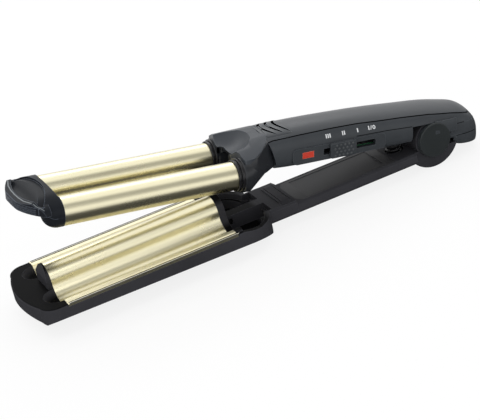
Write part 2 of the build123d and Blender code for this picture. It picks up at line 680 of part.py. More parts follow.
# half sections, from the crown outwards and down to the underside
HOOD_TOP = [(-146.0, [(0, 18.4), (12.0, 18.2), (20.0, 17.4), (26.9, 14.2), (29.4, 9.0), (0, 9.0)]),
            (-132.0, [(0, 21.2), (10.5, 20.8), (18.0, 18.8), (25.2, 14.8), (27.4, 9.0), (0, 9.0)]),
            (-113.0, [(0, 24.6), (8.2, 23.5), (14.2, 20.2), (17.2, 15.8), (17.9, 9.0), (0, 9.0)])]
YOKE_FRONT = [(0, 16.4), (12.0, 16.2), (20.5, 15.4), (27.4, 12.6), (30.4, 5.4), (30.6, 0.5), (27.6, -5.2),
              (22.6, -8.3), (16.4, -8.3), (11.4, -5.2), (8.6, -1.5), (0, -1.5)]
YOKE_MIDDLE = [(0, 19.0), (9.5, 18.6), (17.0, 16.8), (22.6, 13.2), (25.2, 7.2), (25.0, 2.4), (22.8, -1.8),
               (18.4, -3.8), (13.6, -4.0), (9.6, -3.0), (6.8, -0.6), (0, -0.6)]
YOKE_REAR = [(0, 22.2), (7.5, 21.3), (13.0, 18.6), (16.8, 14.0), (18.4, 9.0), (18.3, 6.0), (17.4, 4.2),
             (15.0, 2.9), (12.0, 2.6), (8.0, 2.4), (5.0, 2.4), (0, 2.4)]
# flank facet of the yoke: three points on its plane (near side has y negative)
FLANK = ((-132.8, 26.2, 14.0), (-124.3, 23.0, 0.6), (-119.4, 15.2, 20.4))


def yoke_core():
    return loft([section_x(YOKE_FRONT_X, mirror_y(YOKE_FRONT)), section_x(YOKE_MIDDLE_X, mirror_y(YOKE_MIDDLE)),
                 section_x(YOKE_REAR_X, mirror_y(YOKE_REAR))], ruled=True)


def flank_cut(s):
    """Everything outside the slanted flank facet on one side."""
    a, b, c = (Vector(x, s * y, z) for x, y, z in FLANK)
    n = (b - a).cross(c - a).normalized()
    if n.Y * s < 0:
        n = n * -1
    return Plane(origin=a, z_dir=n) * Pos(0, 0, 40) * Box(120, 120, 80)


def dish():
    """Shallow thumb scoop in the top of the yoke."""
    return Pos(DISH_X, 0, DISH_Z) * Sphere(DISH_R)


def yoke():
    core = yoke_core() & front_cut()
    core -= flank_cut(1) + flank_cut(-1)
    core += box(-121.0, -108.0, -12.0, 12.0, 6.5, 16.0)
    # visor above the barrel rings
    visor = prism_x(mirror_y([(0, 16.4), (12.0, 16.2), (20.5, 15.4), (27.4, 12.6), (30.4, 5.4), (30.4, 3.6),
                              (0, 3.6)]), VISOR_FRONT_X, YOKE_FRONT_X)
    visor -= prism_y([(-150, 12), (-145.9, 12.6), (-141.4, 16.6), (-141.4, 20), (-150, 20)], -40, 40)
    for s in (1, -1):
        visor -= rod_x(RING_R + 0.5, -150, YOKE_FRONT_X, s * BY, BZ)
    core += visor
    core -= fillet(box(-150, -136.5, -NOTCH_HALF, NOTCH_HALF, -10, NOTCH_TOP_Z).edges().filter_by(Axis.X), 3.0)
    core -= dish()
    for s in (1, -1):
        core -= rod_x(BARREL_R + BORE_FIT, -150, BARREL_ROOT_X, s * BY, BZ)
        core -= rod_x(6.5, -150, BARREL_ROOT_X + 4, s * BY, BZ)
        core -= box(-133, -122, min(s * 4, s * 15), max(s * 4, s * 15), 5.0, 9.5)
    core -= box(-128.5, -100, -9.0, 9.0, 8.0, 14.5)
    return core


def barrel(s):
    tube = rod_x(BARREL_R, BARREL_TIP_X, BARREL_ROOT_X, s * BY, BZ)
    return tube - rod_x(BARREL_R - BARREL_WALL, BARREL_TIP_X - 1, BARREL_ROOT_X + 1, s * BY, BZ)


def barrel_ring(s):
    ring = rod_x(9.9, -144.9, -143.5, s * BY, BZ) + rod_x(9.45, -143.6, -142.7, s * BY, BZ) + \
        rod_x(RING_R, -142.8, YOKE_FRONT_X, s * BY, BZ)
    return ring - rod_x(BARREL_R + BORE_FIT, -150, -140, s * BY, BZ)


def heat_sink(s):
    """Two aluminium half blocks pressed to the inside of a barrel, as one extrusion."""
    r = BARREL_R - BARREL_WALL - 0.02
    x0, x1 = BARREL_TIP_X + 7, BARREL_ROOT_X - 12
    blk = rod_x(r, x0, x1, s * BY, BZ) & box(x0, x1, s * BY - 6.0, s * BY + 6.0, BZ - 9, BZ + 9)
    return blk - box(x0 - 1, x1 + 1, s * BY - 4.6, s * BY + 4.6, BZ - 1.1, BZ + 1.1)


def heat_pack(s):
    return box(BARREL_TIP_X + 12, BARREL_ROOT_X - 18, s * BY - 4.6, s * BY + 4.6, BZ - 1.1, BZ + 1.1)


# ---------------------------------------------------------------- tip cap
TIP_REAR = [(-259.2, 3.0), (-259.2, 9.0), (-259.9, 12.9), (-261.7, 16.9)]
TIP_FRONT = [(-265.0, 16.7), (-272.5, 14.6), (-279.6, 12.2), (-284.0, 10.6), (-284.0, 7.2), (-282.8, 6.2),
             (-271.0, 6.0), (-266.0, 3.0)]
TIP_SECTION = [(0, 16.3), (9.0, 16.1), (17.0, 15.0), (23.0, 12.4), (27.2, 8.6), (28.34, 3.7)]
TIP_WIDE = [(0, 13.2), (14.0, 13.1), (23.0, 12.0), (28.4, 9.4), (29.9, 6.0)]


def smooth_section(x, half, z_low):
    """Half section as one smooth curve over the top, closed by a flat bottom."""
    pts = [(x, -y, z) for y, z in reversed(half[1:])] + [(x, y, z) for y, z in half]
    a, b = pts[0], pts[-1]
    edges = [Spline(*pts), Line(b, (x, b[1], z_low)), Line((x, b[1], z_low), (x, a[1], z_low)),
             Line((x, a[1], z_low), a)]
    return make_face(edges)


def tip_plan(grow=0.0, z0=-10, z1=30):
    g = grow
    edges = [ThreePointArc((-271.5 - g, 29.9 + g), (-284.0 - g, 0), (-271.5 - g, -29.9 - g)),
             Line((-271.5 - g, -29.9 - g), (-250, -28.34 - g)), Line((-250, -28.34 - g), (-250, 28.34 + g)),
             Line((-250, 28.34 + g), (-271.5 - g, 29.9 + g))]
    return Pos(0, 0, z0) * extrude(make_face(edges), amount=z1 - z0, dir=(0, 0, 1))


def tip_upper(drop=0.0):
    hull = extrude(smooth_section(-286.0, TIP_SECTION, 3.0), amount=28, dir=(1, 0, 0))
    wide = extrude(smooth_section(-286.0, TIP_WIDE, 5.9), amount=18, dir=(1, 0, 0))
    top = (hull + wide) & prism_y(TIP_REAR + TIP_FRONT, -40, 40)
    return Pos(0, 0, -drop) * top


def tip_dish():
    """Lens shaped scoop across the top, deepest along its front."""
    x, h = -272.5, 27.0
    rim = make_face([ThreePointArc((x, h, 0), (-264.0, 0, 0), (x, -h, 0)),
                     ThreePointArc((x, -h, 0), (-279.4, 0, 0), (x, h, 0))])
    floor = extrude(smooth_section(-286.0, [(y, z - 1.5) for y, z in TIP_SECTION], 1.0), amount=28, dir=(1, 0, 0))
    line = Spline((-281.0, -40, 10.6), (-277.8, -40, 10.1), (-275.0, -40, 10.9), (-272.2, -40, 13.3),
                  (-269.6, -40, 14.55), (-266.0, -40, 14.8), (-260.0, -40, 15.6))
    edges = [line, Line((-260, -40, 15.6), (-260, -40, 0)), Line((-260, -40, 0), (-281, -40, 0)),
             Line((-281, -40, 0), (-281, -40, 10.6))]
    floor &= extrude(make_face(edges), amount=80, dir=(0, 1, 0))
    return extrude(rim, amount=30, dir=(0, 0, 1)) - floor


def lip_region():
    return (tip_plan() - tip_plan(-LIP_BAND)) & box(-290, -270, -LIP_HALF, LIP_HALF, 5, 10.9)


def tip_cap():
    cap = tip_upper() & tip_plan()
    for s in (1, -1):
        cap += rod_x(TIP_NOSE_R, TIP_NOSE_X, BARREL_TIP_X, s * BY, BZ)
        cap += Pos(TIP_NOSE_X, s * BY, BZ) * Sphere(TIP_NOSE_R) & box(-272, TIP_NOSE_X, -40, 40, -10, 10)
    cap -= prism_y([(-273.0, -6), (-273.0, 4), (-271.4, 8.5), (-270.2, 15), (-250, 15), (-250, -6)], -12, 12) & \
        (rod_x(HUMP_R + 0.55, -274, -250, 0, HZ) + box(-274, -250, -HUMP_R - 0.4, HUMP_R + 0.4, -10, HZ))
    cap -= tip_dish()
    cap -= lip_region()
    for s in (1, -1):
        cap += rod_x(BARREL_R - BARREL_WALL - BORE_FIT, BARREL_TIP_X - 1, BARREL_TIP_X + TIP_SPIGOT_L, s * BY, BZ)
        cap -= rod_x(TIP_BORE_R, BARREL_TIP_X - 4, BARREL_TIP_X + TIP_SPIGOT_L + 1, s * BY, BZ)
        cap -= rod_x(1.4, -274, -267.5, s * (BY + 4.8), BZ + 1.6)
    return cap


def tip_lip():
    lip = lip_region() & tip_upper()
    for z in (7.2, 8.4, 9.6):
        lip -= (tip_plan(0.6, z - 0.25, z + 0.25) - tip_plan(-0.45, z - 0.3, z + 0.3)) & \
            box(-290, -268, -24.5, 24.5, 5, 12)
    return lip


# ---------------------------------------------------------------- hinge
def hinge_pin():
    return rod_y(PIN_R, -CAP_IN - 0.6, CAP_IN + 0.6)


def hinge_cap(s):
    y0, y1 = sorted((s * CAP_IN, s * CAP_OUT))
    cap = rod_y(CAP_R, y0, y1)
    outer = cap.faces().sort_by(Axis.Y)[0 if s < 0 else -1]
    cap = fillet(outer.edges(), 0.7)
    y0, y1 = sorted((s * (CAP_IN - 1), s * (CAP_IN + 0.62)))
    return cap - rod_y(PIN_R, y0, y1)


def opening_spring():
    """Compression spring between the lever pocket and the handle seat, as open."""
    z0, z1 = SPRING_SEAT_Z, spring_top()
    r = SPRING_WIRE_R
    path = Helix(pitch=(z1 - z0 - 2 * r) / 6.5, height=z1 - z0 - 2 * r, radius=SPRING_R)
    prof = Plane(origin=path @ 0, z_dir=path % 0) * Circle(r)
    return Pos(SPRING_X, 0, z0 + r) * sweep(prof, path, is_frenet=True)


def spring_top():
    """Height of the handle seat over the spring with the jaw open, hinge frame."""
    a = math.radians(OPEN_ANGLE)
    x = (SPRING_X - SPRING_TOP_Z * math.sin(a)) / math.cos(a)
    return -x * math.sin(a) + SPRING_TOP_Z * math.cos(a)


# ---------------------------------------------------------------- rear end
def rear_shell(block):
    part = block & rear_region(0, REAR_Z1)
    return part - bush_bore() - rear_screw_holes()


def rear_base(block):
    part = block & rear_region(-40, 0)
    return part - bush_bore() - rear_screw_holes()


def rear_screws():
    screws = []
    for s in (1, -1):
        x, y, z = REAR_SCREW_X, s * REAR_SCREW_Y, REAR_HEAD_Z
        screws.append(rod_z(SCREW_R, z - 0.1, REAR_SCREW_TOP, x, y) + rod_z(SCREW_HEAD_R, z - SCREW_HEAD_H, z, x, y)
                      - cross_drive(x, y, z - SCREW_HEAD_H))
    return Compound(screws)


def cord_bush():
    bush = rod_x(BUSH_FLANGE_R, BUSH_X + 0.8, BUSH_X + 3.9, 0, BUSH_Z) + \
        rod_x(BUSH_NECK_R, BUSH_X + 3.8, BUSH_END_X, 0, BUSH_Z)
    return bush - rod_x(BUSH_BORE_R, BUSH_X, 60, 0, BUSH_Z)


def bush_retainer():
    ring = rod_x(BUSH_FLANGE_R + BUSH_RUN_FIT, BUSH_X - 1.4, BUSH_X + 0.7, 0, BUSH_Z)
    return ring - rod_x(4.6, 20, 40, 0, BUSH_Z)


# ---------------------------------------------------------------- build
def lower_pieces():
    return {
        "lower_frame": lower_frame(), "wave_plate": wave_plate(), "plate_front_cap": plate_front_cap(),
        "plate_rear_collar": plate_rear_collar(), "plate_clamp": plate_clamp(), "plate_heater": plate_heater(),
        "heater_bed": heater_bed(), "plate_thermostat": thermostat(), "lever_inlay": lever_inlay(),
        "neck_cover": neck_cover(), "plate_screws": plate_screws(), "opening_spring": opening_spring()}


def upper_pieces():
    outer = handle_outer()
    block = handle_block(outer)
    pieces = {
        "handle_body": handle_body(block, outer), "handle_top": handle_top(outer),
        "rear_shell": rear_shell(block), "rear_base": rear_base(block), "yoke": yoke(),
        "tip_cap": tip_cap(), "tip_lip": tip_lip(), "hinge_pin": hinge_pin(), "rear_screws": rear_screws(),
        "bush_retainer": bush_retainer(), "cord_bush": cord_bush(), "switch_panel": switch_panel(),
        "indicator_lens": indicator_lens(), "slide_pad": slide_pad(), "slide_carrier": slide_carrier(),
        "slide_switch": slide_switch(), "control_board": control_board(), "board_screws": board_screws(),
        "indicator_led": indicator_led(), "terminal_block": terminal_block(), "thermal_fuse": thermal_fuse()}
    for name, s in (("near", -1), ("far", 1)):
        pieces["barrel_" + name] = barrel(s)
        pieces["barrel_ring_" + name] = barrel_ring(s)
        pieces["barrel_sink_" + name] = heat_sink(s)
        pieces["barrel_heater_" + name] = heat_pack(s)
        pieces["hinge_cap_" + name] = hinge_cap(s)
    return pieces


def main():
    pieces = {name: lower_arm(p) for name, p in lower_pieces().items()}
    pieces |= {name: upper_arm(p) for name, p in upper_pieces().items()}
    ends = [pieces[name].bounding_box() for name in ("lower_frame", "rear_base", "rear_shell", "cord_bush")]
    origin_x = (min(b.min.X for b in ends) + max(b.max.X for b in ends)) / 2
    print("hinge axis at x =", round(-origin_x, 4), "from the origin")
    for name, piece in pieces.items():
        save(name, Pos(-origin_x, 0, 0) * piece)


main()
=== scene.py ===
# %% [markdown]
# # A hair waver, dressed around its measured frame
# The waver has a lower arm with a champagne wave plate and an upper arm with
# two champagne barrels, hinged at the rear. The rigid bodies come in as a
# finished frame, in metres, with every piece already in its place.

# %% Load the frame
import json
import math

import bmesh
import bpy
from mathutils import Matrix, Vector
from mathutils.bvhtree import BVHTree


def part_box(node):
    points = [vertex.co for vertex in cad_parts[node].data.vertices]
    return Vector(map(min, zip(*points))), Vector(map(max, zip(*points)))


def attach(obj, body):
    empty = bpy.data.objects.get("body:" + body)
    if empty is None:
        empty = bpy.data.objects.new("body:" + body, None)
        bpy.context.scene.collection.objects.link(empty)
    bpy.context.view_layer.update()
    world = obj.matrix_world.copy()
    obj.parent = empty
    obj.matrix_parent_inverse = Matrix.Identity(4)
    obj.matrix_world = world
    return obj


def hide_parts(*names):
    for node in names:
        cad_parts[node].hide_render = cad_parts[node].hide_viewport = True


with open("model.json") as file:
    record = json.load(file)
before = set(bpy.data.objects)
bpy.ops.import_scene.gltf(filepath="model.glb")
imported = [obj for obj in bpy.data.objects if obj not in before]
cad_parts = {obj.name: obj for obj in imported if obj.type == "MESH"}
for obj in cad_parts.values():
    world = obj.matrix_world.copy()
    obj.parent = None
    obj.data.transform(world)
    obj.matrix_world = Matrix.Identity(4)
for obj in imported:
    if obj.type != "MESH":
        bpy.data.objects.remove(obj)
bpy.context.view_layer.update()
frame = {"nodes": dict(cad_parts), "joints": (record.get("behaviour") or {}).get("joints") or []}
nodes = frame["nodes"]
MM = 0.001

# %% [markdown]
# ## Where things are
# The upper arm stands open at rest, so its pieces are tilted about the hinge
# pin. It is easier to place a mark or a seam in the arm's own straight
# directions and to turn it into place with one matrix. ARM_MM does that: it
# takes millimetres along the closed arm, counted from the pin, to metres in
# the scene. The pin gives the centre of the turn, and the slide's axis in
# the record gives the angle. LOWER_MM is the same for the level lower arm.

# %% Hinge centre, opening angle and the places of both arms
pin_low, pin_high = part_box("hinge_pin")
HINGE = (pin_low + pin_high) / 2
HINGE.y = 0.0
slide_axis = next(j["axis"] for j in frame["joints"] if j["name"] == "switch_slide")
OPEN_ANGLE = math.atan2(-slide_axis[2], slide_axis[0])
LOWER_MM = Matrix.Translation(HINGE) @ Matrix.Scale(MM, 4)
ARM_MM = Matrix.Translation(HINGE) @ Matrix.Rotation(OPEN_ANGLE, 4, "Y") @ Matrix.Scale(MM, 4)
print("hinge", [round(v, 5) for v in HINGE],
      "open by", round(math.degrees(OPEN_ANGLE), 2), "degrees")

# %% [markdown]
# ## Camera
# A long lens a good metre away keeps the arms nearly parallel on screen. The
# camera is rolled a little, so the handle climbs gently to the right.

# %% Camera
CAMERA_PLACE = (-0.35259, -0.8969, 0.4975)
AZIMUTH, ELEVATION, ROLL = (math.radians(a) for a in (-20.84, 26.63, -12.53))

camera_data = bpy.data.cameras.new("camera")
camera_data.lens = 126.6
camera_data.sensor_width = 36.0
camera_data.sensor_fit = "HORIZONTAL"
camera_data.clip_start = 0.05
camera_data.clip_end = 20.0
camera = bpy.data.objects.new("camera", camera_data)
bpy.context.scene.collection.objects.link(camera)
back = Vector((math.sin(AZIMUTH) * math.cos(ELEVATION),
               -math.cos(AZIMUTH) * math.cos(ELEVATION),
               math.sin(ELEVATION)))
level = Vector((math.cos(AZIMUTH), math.sin(AZIMUTH), 0.0))
upright = back.cross(level)
right = math.cos(ROLL) * level + math.sin(ROLL) * upright
top = math.cos(ROLL) * upright - math.sin(ROLL) * level
turn = Matrix((right, top, back)).transposed().to_4x4()
camera.matrix_world = Matrix.Translation(CAMERA_PLACE) @ turn
bpy.context.scene.camera = camera
print("camera", [round(v, 3) for v in camera.matrix_world.translation])

# %% [markdown]
# ## Shader nodes in few words
# World, floor and finishes are all small trees of shader nodes. A tree built
# by hand needs one line for each node, value and link, so two helpers say
# the same in less: one makes a node with its values, the other joins many.

# %% Two helpers for shader nodes


def add_node(tree, kind, inputs=(), operation=None):
    """A new shader node, with its operation and the values of some inputs."""
    node = tree.nodes.new(kind)
    if operation:
        node.operation = operation
    for socket, value in dict(inputs).items():
        node.inputs[socket].default_value = value
    return node


def join(tree, *links):
    """Links given as (node, output, node, input), by name or by number."""
    for source, output, target, socket in links:
        tree.links.new(source.outputs[output], target.inputs[socket])


# %% [markdown]
# ## Floor, world and lamps
# Satin metal shows whatever stands around it, so the world is drawn like a
# small studio. Going over the object from the front to the back there is a
# bright front screen, a dimmer gap above it, and a broad white screen from
# overhead down to the far wall. The height angle of a direction about the
# long axis of the waver picks the brightness from one colour ramp. To the
# camera the world is plain white and the floor nearly so. To glossy rays the
# floor is white too, but for a dim band under and in front of the object,
# which gives the barrels their dark lower side.

# %% World
FULL_TURN = 2 * math.pi
SCREENS = ((-180, 0.90), (-60, 0.35), (-14, 0.70), (-4, 1.22), (14, 1.22), (32, 0.42),
           (56, 0.42), (78, 1.22), (132, 1.15), (162, 0.95), (180, 0.85))


def ramp_stops(ramp, stops):
    """Sets a colour ramp's grey stops from (position, value) pairs."""
    ramp.interpolation = "EASE"
    while len(ramp.elements) > 1:
        ramp.elements.remove(ramp.elements[-1])
    ramp.elements[0].position = stops[0][0]
    ramp.elements[0].color = (stops[0][1],) * 3 + (1,)
    for position, value in stops[1:]:
        ramp.elements.new(position).color = (value,) * 3 + (1,)


world = bpy.data.worlds.new("studio")
bpy.context.scene.world = world
world.use_nodes = True
sky = world.node_tree
sky.nodes.clear()
sky_out = add_node(sky, "ShaderNodeOutputWorld")
white_sky = add_node(sky, "ShaderNodeBackground", {"Strength": 1.0, "Color": (1, 1, 1, 1)})
lit_sky = add_node(sky, "ShaderNodeBackground", {"Strength": 1.0})
sky_way = add_node(sky, "ShaderNodeTexCoord")
sky_split = add_node(sky, "ShaderNodeSeparateXYZ")
sky_front = add_node(sky, "ShaderNodeMath", {1: -1.0}, "MULTIPLY")
sky_angle = add_node(sky, "ShaderNodeMath", operation="ARCTAN2")
sky_share = add_node(sky, "ShaderNodeMath", {1: 1 / FULL_TURN, 2: 0.5}, "MULTIPLY_ADD")
sky_ramp = add_node(sky, "ShaderNodeValToRGB")
ramp_stops(sky_ramp.color_ramp, [(angle / 360 + 0.5, value) for angle, value in SCREENS])
sky_path = add_node(sky, "ShaderNodeLightPath")
sky_mix = add_node(sky, "ShaderNodeMixShader")
join(sky,
     (sky_way, "Generated", sky_split, 0),
     (sky_split, "Y", sky_front, 0),
     (sky_split, "Z", sky_angle, 0),
     (sky_front, 0, sky_angle, 1),
     (sky_angle, 0, sky_share, 0),
     (sky_share, 0, sky_ramp, "Fac"),
     (sky_ramp, "Color", lit_sky, "Color"),
     (sky_path, "Is Camera Ray", sky_mix, "Fac"),
     (lit_sky, 0, sky_mix, 1),
     (white_sky, 0, sky_mix, 2),
     (sky_mix, 0, sky_out, "Surface"))
print("sky screens:", SCREENS)

# %% Floor
FLOOR_HALF = 6.0
PAPER_GREY = (0.86, 0.86, 0.86, 1)
PAPER_WHITE_SHARE = 0.84      # how far the camera sees white instead of the lit paper
BAND_MIDDLE_Y = -0.08         # middle of the dim band that glossy rays see
BAND_RISE = {"From Min": 0.13, "From Max": 0.30, "To Min": 0.07, "To Max": 1.0}


def new_mesh_object(name, bm):
    """Puts a finished bmesh into the scene as an object at the origin."""
    mesh = bpy.data.meshes.new(name)
    bm.to_mesh(mesh)
    bm.free()
    obj = bpy.data.objects.new(name, mesh)
    bpy.context.scene.collection.objects.link(obj)
    return obj


bm = bmesh.new()
bmesh.ops.create_grid(bm, x_segments=2, y_segments=2, size=FLOOR_HALF)
floor = new_mesh_object("floor", bm)
paper = bpy.data.materials.new("studio_paper")
paper.use_nodes = True
sheet = paper.node_tree
sheet.nodes.clear()
paper_out = add_node(sheet, "ShaderNodeOutputMaterial")
paper_shade = add_node(sheet, "ShaderNodeBsdfDiffuse", {"Color": PAPER_GREY})
paper_white = add_node(sheet, "ShaderNodeEmission", {"Strength": 1.0})
paper_sheen = add_node(sheet, "ShaderNodeEmission")
paper_place = add_node(sheet, "ShaderNodeTexCoord")
paper_split = add_node(sheet, "ShaderNodeSeparateXYZ")
paper_from = add_node(sheet, "ShaderNodeMath", {1: -BAND_MIDDLE_Y}, "ADD")
paper_far = add_node(sheet, "ShaderNodeMath", operation="ABSOLUTE")
paper_dim = add_node(sheet, "ShaderNodeMapRange", BAND_RISE)
paper_dim.interpolation_type = "SMOOTHSTEP"
paper_path = add_node(sheet, "ShaderNodeLightPath")
paper_share = add_node(sheet, "ShaderNodeMath", {1: PAPER_WHITE_SHARE}, "MULTIPLY")
paper_seen = add_node(sheet, "ShaderNodeMixShader")
paper_mix = add_node(sheet, "ShaderNodeMixShader")
join(sheet,
     (paper_place, "Object", paper_split, 0),
     (paper_split, "Y", paper_from, 0),
     (paper_from, 0, paper_far, 0),
     (paper_far, 0, paper_dim, "Value"),
     (paper_dim, "Result", paper_sheen, "Strength"),
     (paper_path, "Is Camera Ray", paper_share, 0),
     (paper_share, 0, paper_seen, "Fac"),
     (paper_shade, 0, paper_seen, 1),
     (paper_white, 0, paper_seen, 2),
     (paper_path, "Is Glossy Ray", paper_mix, "Fac"),
     (paper_seen, 0, paper_mix, 1),
     (paper_sheen, 0, paper_mix, 2),
     (paper_mix, 0, paper_out, "Surface"))
floor.data.materials.append(paper)
print("floor", 2 * FLOOR_HALF, "m wide, dim to glossy rays around y =", BAND_MIDDLE_Y)


# %% Lamps
def soft_lamp(name, size_x, size_y, watts, place, target):
    """A rectangular area lamp that looks at a target."""
    data = bpy.data.lights.new(name, "AREA")
    data.shape = "RECTANGLE"
    data.size = size_x
    data.size_y = size_y
    data.energy = watts
    lamp = bpy.data.objects.new(name, data)
    bpy.context.scene.collection.objects.link(lamp)
    aim = (Vector(target) - Vector(place)).to_track_quat("-Z", "Y").to_matrix().to_4x4()
    lamp.matrix_world = Matrix.Translation(place) @ aim
    print(name, watts, "W, at", place)


soft_lamp("key_lamp", 1.4, 0.5, 3.0, (-0.35, -1.0, 0.85), (0.0, 0.0, 0.03))
soft_lamp("back_lamp", 1.6, 0.5, 4.0, (0.1, 0.9, 0.9), (0.0, 0.0, 0.04))

# %% [markdown]
# ## Finishes
# Moulded plastic is never one flat colour: it has a fine grain, a slight
# cloudiness, and edges polished by handling, which are lightened further as a
# painted highlight. Three small node groups give those effects once, and each
# finish mixes them in its own amounts. The tray also paints shade on its
# upward faces.

# %% Shared shader groups
MIX_A, MIX_B, MIX_OUT = 6, 7, 2      # the sockets of a Mix node that mixes colours


def colour_mix(tree, second=None):
    """A Mix node for colours, with its second colour set when it is known."""
    mix = add_node(tree, "ShaderNodeMix")
    mix.data_type = "RGBA"
    if second:
        mix.inputs[MIX_B].default_value = second
    return mix


def shader_group(name, inputs, outputs):
    """A node group with inputs (label, kind, value) and outputs (label, kind)."""
    tree = bpy.data.node_groups.new(name, "ShaderNodeTree")
    for label, kind, value in inputs:
        socket = tree.interface.new_socket(label, in_out="INPUT", socket_type=kind)
        if value is not None:
            socket.default_value = value
    for label, kind in outputs:
        tree.interface.new_socket(label, in_out="OUTPUT", socket_type=kind)
    return tree, add_node(tree, "NodeGroupInput"), add_node(tree, "NodeGroupOutput")


def build_grain_group():
    """Fine moulding grain as a height, on Object coordinates."""
    tree, start, end = shader_group(
        "moulding_grain",
        [("Scale", "NodeSocketFloat", 2500.0)],
        [("Height", "NodeSocketFloat")])
    where = add_node(tree, "ShaderNodeTexCoord")
    noise = add_node(tree, "ShaderNodeTexNoise", {"Detail": 3.0, "Roughness": 0.6})
    join(tree,
         (where, "Object", noise, "Vector"),
         (start, "Scale", noise, "Scale"),
         (noise, "Fac", end, "Height"))
    return tree


def build_cloud_group():
    """Slow variation of tone: two colours mixed by a soft noise."""
    tree, start, end = shader_group(
        "slow_cloud",
        [("Dark", "NodeSocketColor", (0, 0, 0, 1)),
         ("Light", "NodeSocketColor", (1, 1, 1, 1)),
         ("Scale", "NodeSocketFloat", 40.0)],
        [("Color", "NodeSocketColor"), ("Fac", "NodeSocketFloat")])
    where = add_node(tree, "ShaderNodeTexCoord")
    noise = add_node(tree, "ShaderNodeTexNoise", {"Detail": 4.0})
    mix = colour_mix(tree)
    join(tree,
         (where, "Object", noise, "Vector"),
         (start, "Scale", noise, "Scale"),
         (noise, "Fac", mix, "Factor"),
         (start, "Dark", mix, MIX_A),
         (start, "Light", mix, MIX_B),
         (mix, MIX_OUT, end, "Color"),
         (noise, "Fac", end, "Fac"))
    return tree


def build_edge_group():
    """1 on an edge and 0 on open faces, from a rounded normal; the edges it finds are lightened as
    wear and as a painted highlight.
    """
    tree, start, end = shader_group(
        "edge_wear_highlight_mask",
        [("Rounded", "NodeSocketVector", None), ("Gain", "NodeSocketFloat", 6.0)],
        [("Mask", "NodeSocketFloat")])
    geometry = add_node(tree, "ShaderNodeNewGeometry")
    dot = add_node(tree, "ShaderNodeVectorMath", operation="DOT_PRODUCT")
    less = add_node(tree, "ShaderNodeMath", {0: 1.0}, "SUBTRACT")
    gain = add_node(tree, "ShaderNodeMath", operation="MULTIPLY")
    gain.use_clamp = True
    join(tree,
         (start, "Rounded", dot, 0),
         (geometry, "Normal", dot, 1),
         (dot, "Value", less, 1),
         (less, 0, gain, 0),
         (start, "Gain", gain, 1),
         (gain, 0, end, "Mask"))
    return tree


GRAIN, CLOUD, EDGE = build_grain_group(), build_cloud_group(), build_edge_group()
print("shader groups:", GRAIN.name, CLOUD.name, EDGE.name)

# %% Painted shade on upward faces, and edges lightened as wear and painted highlight
# Painted shade on upward faces: how far up a face must look, and how far back from the nose in X
# the shade reaches.
TOP_FACING = {"From Min": 0.55, "From Max": 0.85}     # Z of the normal, not yet and fully upward
TOP_REACH, TOP_FADE = 0.0, 0.004                      # where the colour of upward faces ends, in X
EDGE_GAIN, EDGE_SAMPLES = 5.0, 6


def place_group(tree, group, inputs):
    """A group node in a material, with its inputs set."""
    node = tree.nodes.new("ShaderNodeGroup")
    node.node_tree = group
    for key, value in inputs.items():
        node.inputs[key].default_value = value
    return node


def paint_shade_on_tops(tree, colour, top):
    """Paints shade on upward faces: from the nose as far as TOP_REACH they take a darker colour of
    their own.
    """
    facing = add_node(tree, "ShaderNodeNewGeometry")
    normal = add_node(tree, "ShaderNodeSeparateXYZ")
    upward = add_node(tree, "ShaderNodeMapRange", TOP_FACING)
    place = add_node(tree, "ShaderNodeTexCoord")
    along = add_node(tree, "ShaderNodeSeparateXYZ")
    reach = add_node(tree, "ShaderNodeMapRange", {"From Min": TOP_REACH - TOP_FADE,
                                                  "From Max": TOP_REACH,
                                                  "To Min": 1.0, "To Max": 0.0})
    both = add_node(tree, "ShaderNodeMath", operation="MULTIPLY")
    shaded_tops_mix = colour_mix(tree, (*top, 1))
    join(tree,
         (facing, "Normal", normal, 0),
         (normal, "Z", upward, "Value"),
         (place, "Object", along, 0),
         (along, "X", reach, "Value"),
         (upward, "Result", both, 0),
         (reach, "Result", both, 1),
         (both, "Value", shaded_tops_mix, "Factor"))
    tree.links.new(colour, shaded_tops_mix.inputs[MIX_A])
    return shaded_tops_mix.outputs[MIX_OUT]


def lighten_edges_wear_and_highlight(tree, colour, edge_colour, radius):
    """Lightens the edges, partly as wear and partly as a painted highlight; gives back the new
    colour and the normal that rounds them.
    """
    rounded = add_node(tree, "ShaderNodeBevel", {"Radius": radius})
    rounded.samples = EDGE_SAMPLES
    edge = place_group(tree, EDGE, {"Gain": EDGE_GAIN})
    edge_wear_and_highlight = colour_mix(tree, edge_colour)
    join(tree,
         (rounded, "Normal", edge, "Rounded"),
         (edge, "Mask", edge_wear_and_highlight, "Factor"))
    tree.links.new(colour, edge_wear_and_highlight.inputs[MIX_A])
    return edge_wear_and_highlight.outputs[MIX_OUT], rounded.outputs["Normal"]


# %% One moulded finish
GLOSS_SPREAD = 0.05
GRAIN_STRENGTH = 0.6
COAT_ROUGHNESS = 0.25


